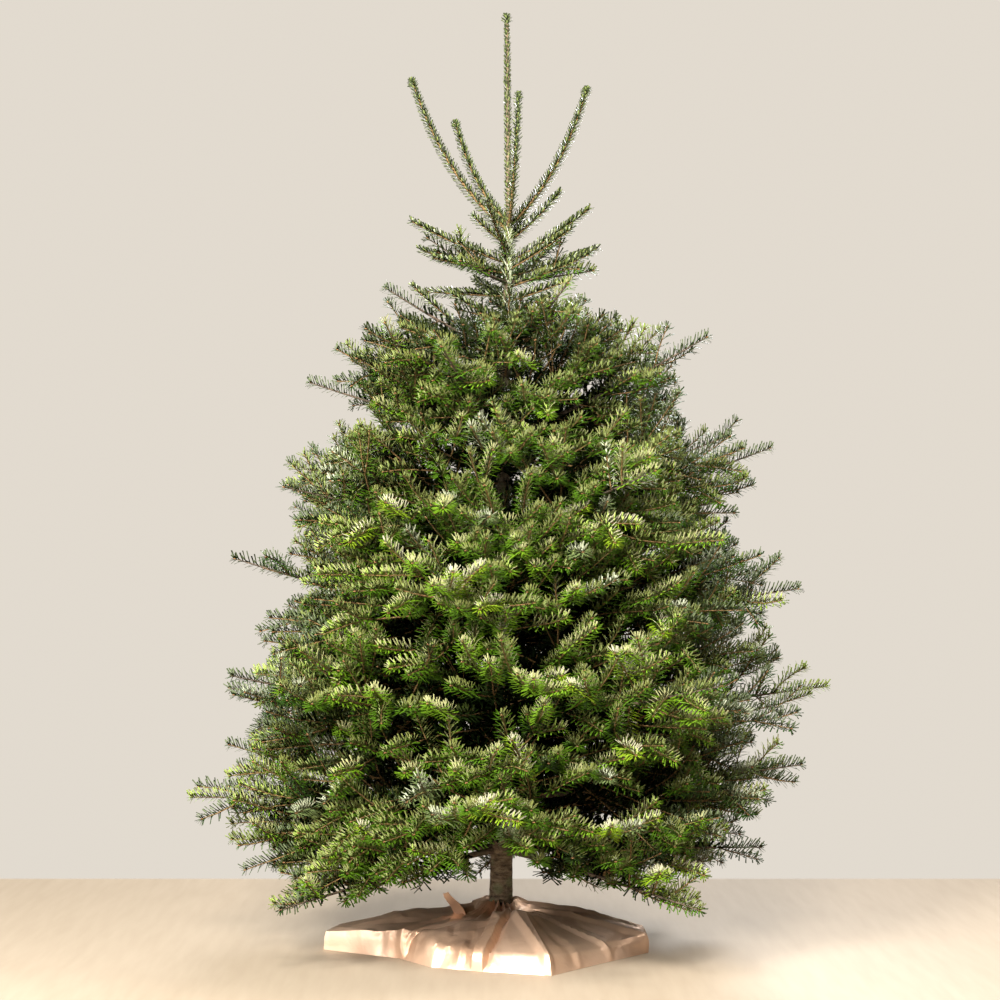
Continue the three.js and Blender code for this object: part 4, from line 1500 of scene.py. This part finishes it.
# %% [markdown]
# Round the trunk the paper is gathered: pleats of unequal width that stand up from the collar.
# Evenly spaced ones would look like a machine's, so two slow waves push them together and apart.

# %% Pleats of the collar
PLEATS = 23
PLEAT_HEIGHT, SWELL_HEIGHT = 0.0080, 0.004
WIDEST = 0.395  # beyond this the paper keeps its place, so that the stand keeps its size
pleat_angle = bearing * PLEATS + 1.6 * np.sin(3 * bearing + 0.4) + 1.1 * np.sin(5 * bearing)
pleat = np.abs((pleat_angle / (2 * np.pi)) % 1 - 0.5) * 4 - 1
near_trunk = np.clip((0.135 - out) / 0.07, 0, 1) * np.clip((out - 0.024) / 0.01, 0, 1)
lift += pleat * PLEAT_HEIGHT * near_trunk
lift += near_trunk * SWELL_HEIGHT * np.sin(3 * bearing + 0.8)

across_u = np.roll(paper, -1, axis=1) - np.roll(paper, 1, axis=1)
across_v = np.gradient(paper, axis=0)
normals = np.cross(across_u, across_v)
normals /= np.linalg.norm(normals, axis=2, keepdims=True)
edge = np.clip(paper[..., 2] / 0.02, 0, 1) ** 0.7
inside = np.clip((WIDEST - np.abs(paper[..., 0])) / 0.03, 0.15, 1)
folded_paper = paper + normals * (lift * edge * inside)[..., None]
folded_paper[..., 2] = np.maximum(folded_paper[..., 2], 0)
folded_paper[0] = paper[0]
print("paper", folded_paper.shape, "highest", round(float(folded_paper[..., 2].max()), 3))


# %% The mesh of the paper
def paper_mesh():
    """The paper as one closed mesh, with a fan under the floor's rim and one inside the neck."""
    rows, columns = folded_paper.shape[:2]
    number = np.arange(rows * columns).reshape(rows, columns)
    after = np.roll(number, -1, axis=1)
    quads = np.stack([number[:-1], after[:-1], after[1:], number[1:]], 2).reshape(-1, 4)
    triangles = np.concatenate([quads[:, [0, 1, 2]], quads[:, [0, 2, 3]]])
    under, top = rows * columns, rows * columns + 1
    floor_fan = np.stack([after[0], number[0], np.full(columns, under)], 1)
    neck_fan = np.stack([number[-1], after[-1], np.full(columns, top)], 1)
    points = np.concatenate([folded_paper.reshape(-1, 3), [(0, 0, 0), (0, 0, INNER_NECK[1])]])
    return mesh_of("wrapped_stand", points, np.concatenate([triangles, floor_fan, neck_fan]))


# %% [markdown]
# Beside the trunk a loose end of the paper stands up. A flat plane would vanish from the side, so
# it is a thin closed strip that narrows towards its end.


# %% A loose end
def paper_tab(places, way, width, thickness):
    """A closed strip of paper along some places, as wide as width in the direction way."""
    places, way = np.array(places), unit(np.array(way))
    across = np.cross(np.gradient(places, axis=0), way)
    across /= np.linalg.norm(across, axis=1, keepdims=True)
    corners = ((-0.5, -0.5), (0.5, -0.5), (0.5, 0.5), (-0.5, 0.5))
    taper = np.linspace(1, 0.45, len(places))[:, None]
    rows = [places + a * width * taper * way + b * thickness * across for a, b in corners]
    points = np.stack(rows, 1).reshape(-1, 3)
    faces = []
    for step in range(len(places) - 1):
        for corner in range(4):
            one, next_one = 4 * step + corner, 4 * step + (corner + 1) % 4
            faces.append((one, next_one, next_one + 4, one + 4))
    last = len(points) - 4
    ends = [(3, 2, 1, 0), (last, last + 1, last + 2, last + 3)]
    return mesh_of("paper_tab", points, faces + ends)


# %% [markdown]
# The paper is satin: half metal, half pigment, rough enough to spread a highlight over a whole
# face. A mirror finish would show the lights as hard shapes. Soft waves and a fine crinkle break
# the light up where the mesh itself is smooth.


# %% Satin paper
def satin_paper():
    """Satin metallic paper: two warm tones, soft waves and a fine crinkle."""
    material = finish("satin_paper", (0.86, 0.66, 0.50), 0.41, metallic=0.52, coat=0.08)
    tree = material.node_tree
    shader = tree.nodes["Principled BSDF"]
    place = add(tree, "ShaderNodeTexCoord").outputs["Object"]
    tones = add(tree, "ShaderNodeTexNoise", {"Vector": place, "Scale": 7.0, "Detail": 3.0})
    tone = mixed(tree, tones.outputs["Fac"], (0.59, 0.31, 0.16, 1), (0.93, 0.70, 0.53, 1))
    rough = ranged(tree, tones.outputs["Fac"], to_min=0.34, to_max=0.50)
    waves = add(
        tree,
        "ShaderNodeTexNoise",
        {"Vector": place, "Scale": 22.0, "Detail": 2.0, "Distortion": 0.6},
    ).outputs["Fac"]
    crinkle = add(
        tree, "ShaderNodeTexVoronoi", {"Vector": place, "Scale": 110.0}, feature="DISTANCE_TO_EDGE"
    ).outputs["Distance"]
    soft = add(tree, "ShaderNodeBump", {"Height": waves, "Distance": 0.0035, "Strength": 0.7})
    fine = add(
        tree,
        "ShaderNodeBump",
        {
            "Height": crinkle,
            "Distance": 0.0006,
            "Strength": 0.35,
            "Normal": soft.outputs["Normal"],
        },
    )
    tree.links.new(tone, shader.inputs["Base Color"])
    tree.links.new(rough, shader.inputs["Roughness"])
    tree.links.new(fine.outputs["Normal"], shader.inputs["Normal"])
    return material


# %% Dress the stand
TAB_PLACES = (
    (-0.090, -0.040, 0.078),
    (-0.095, -0.043, 0.094),
    (-0.103, -0.046, 0.107),
    (-0.112, -0.048, 0.117),
    (-0.120, -0.048, 0.126),
    (-0.124, -0.047, 0.134),
)
TAB_WAY = (0.75, -0.55, 0.30)
TAB_WIDTH, TAB_THICKNESS = 0.034, 0.0012
SHARP_FOLD = math.radians(34)
wrapped = put("wrapped_stand", paper_mesh())
tab = put("paper_tab", paper_tab(TAB_PLACES, TAB_WAY, TAB_WIDTH, TAB_THICKNESS))
satin = satin_paper()
for piece in (wrapped, tab):
    piece.data.materials.append(satin)
    piece.data.shade_smooth()
    piece.data.set_sharp_from_angle(angle=SHARP_FOLD)
    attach(piece, "root")
    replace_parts(piece, "stand")
    print(piece.name, "faces", len(piece.data.polygons))
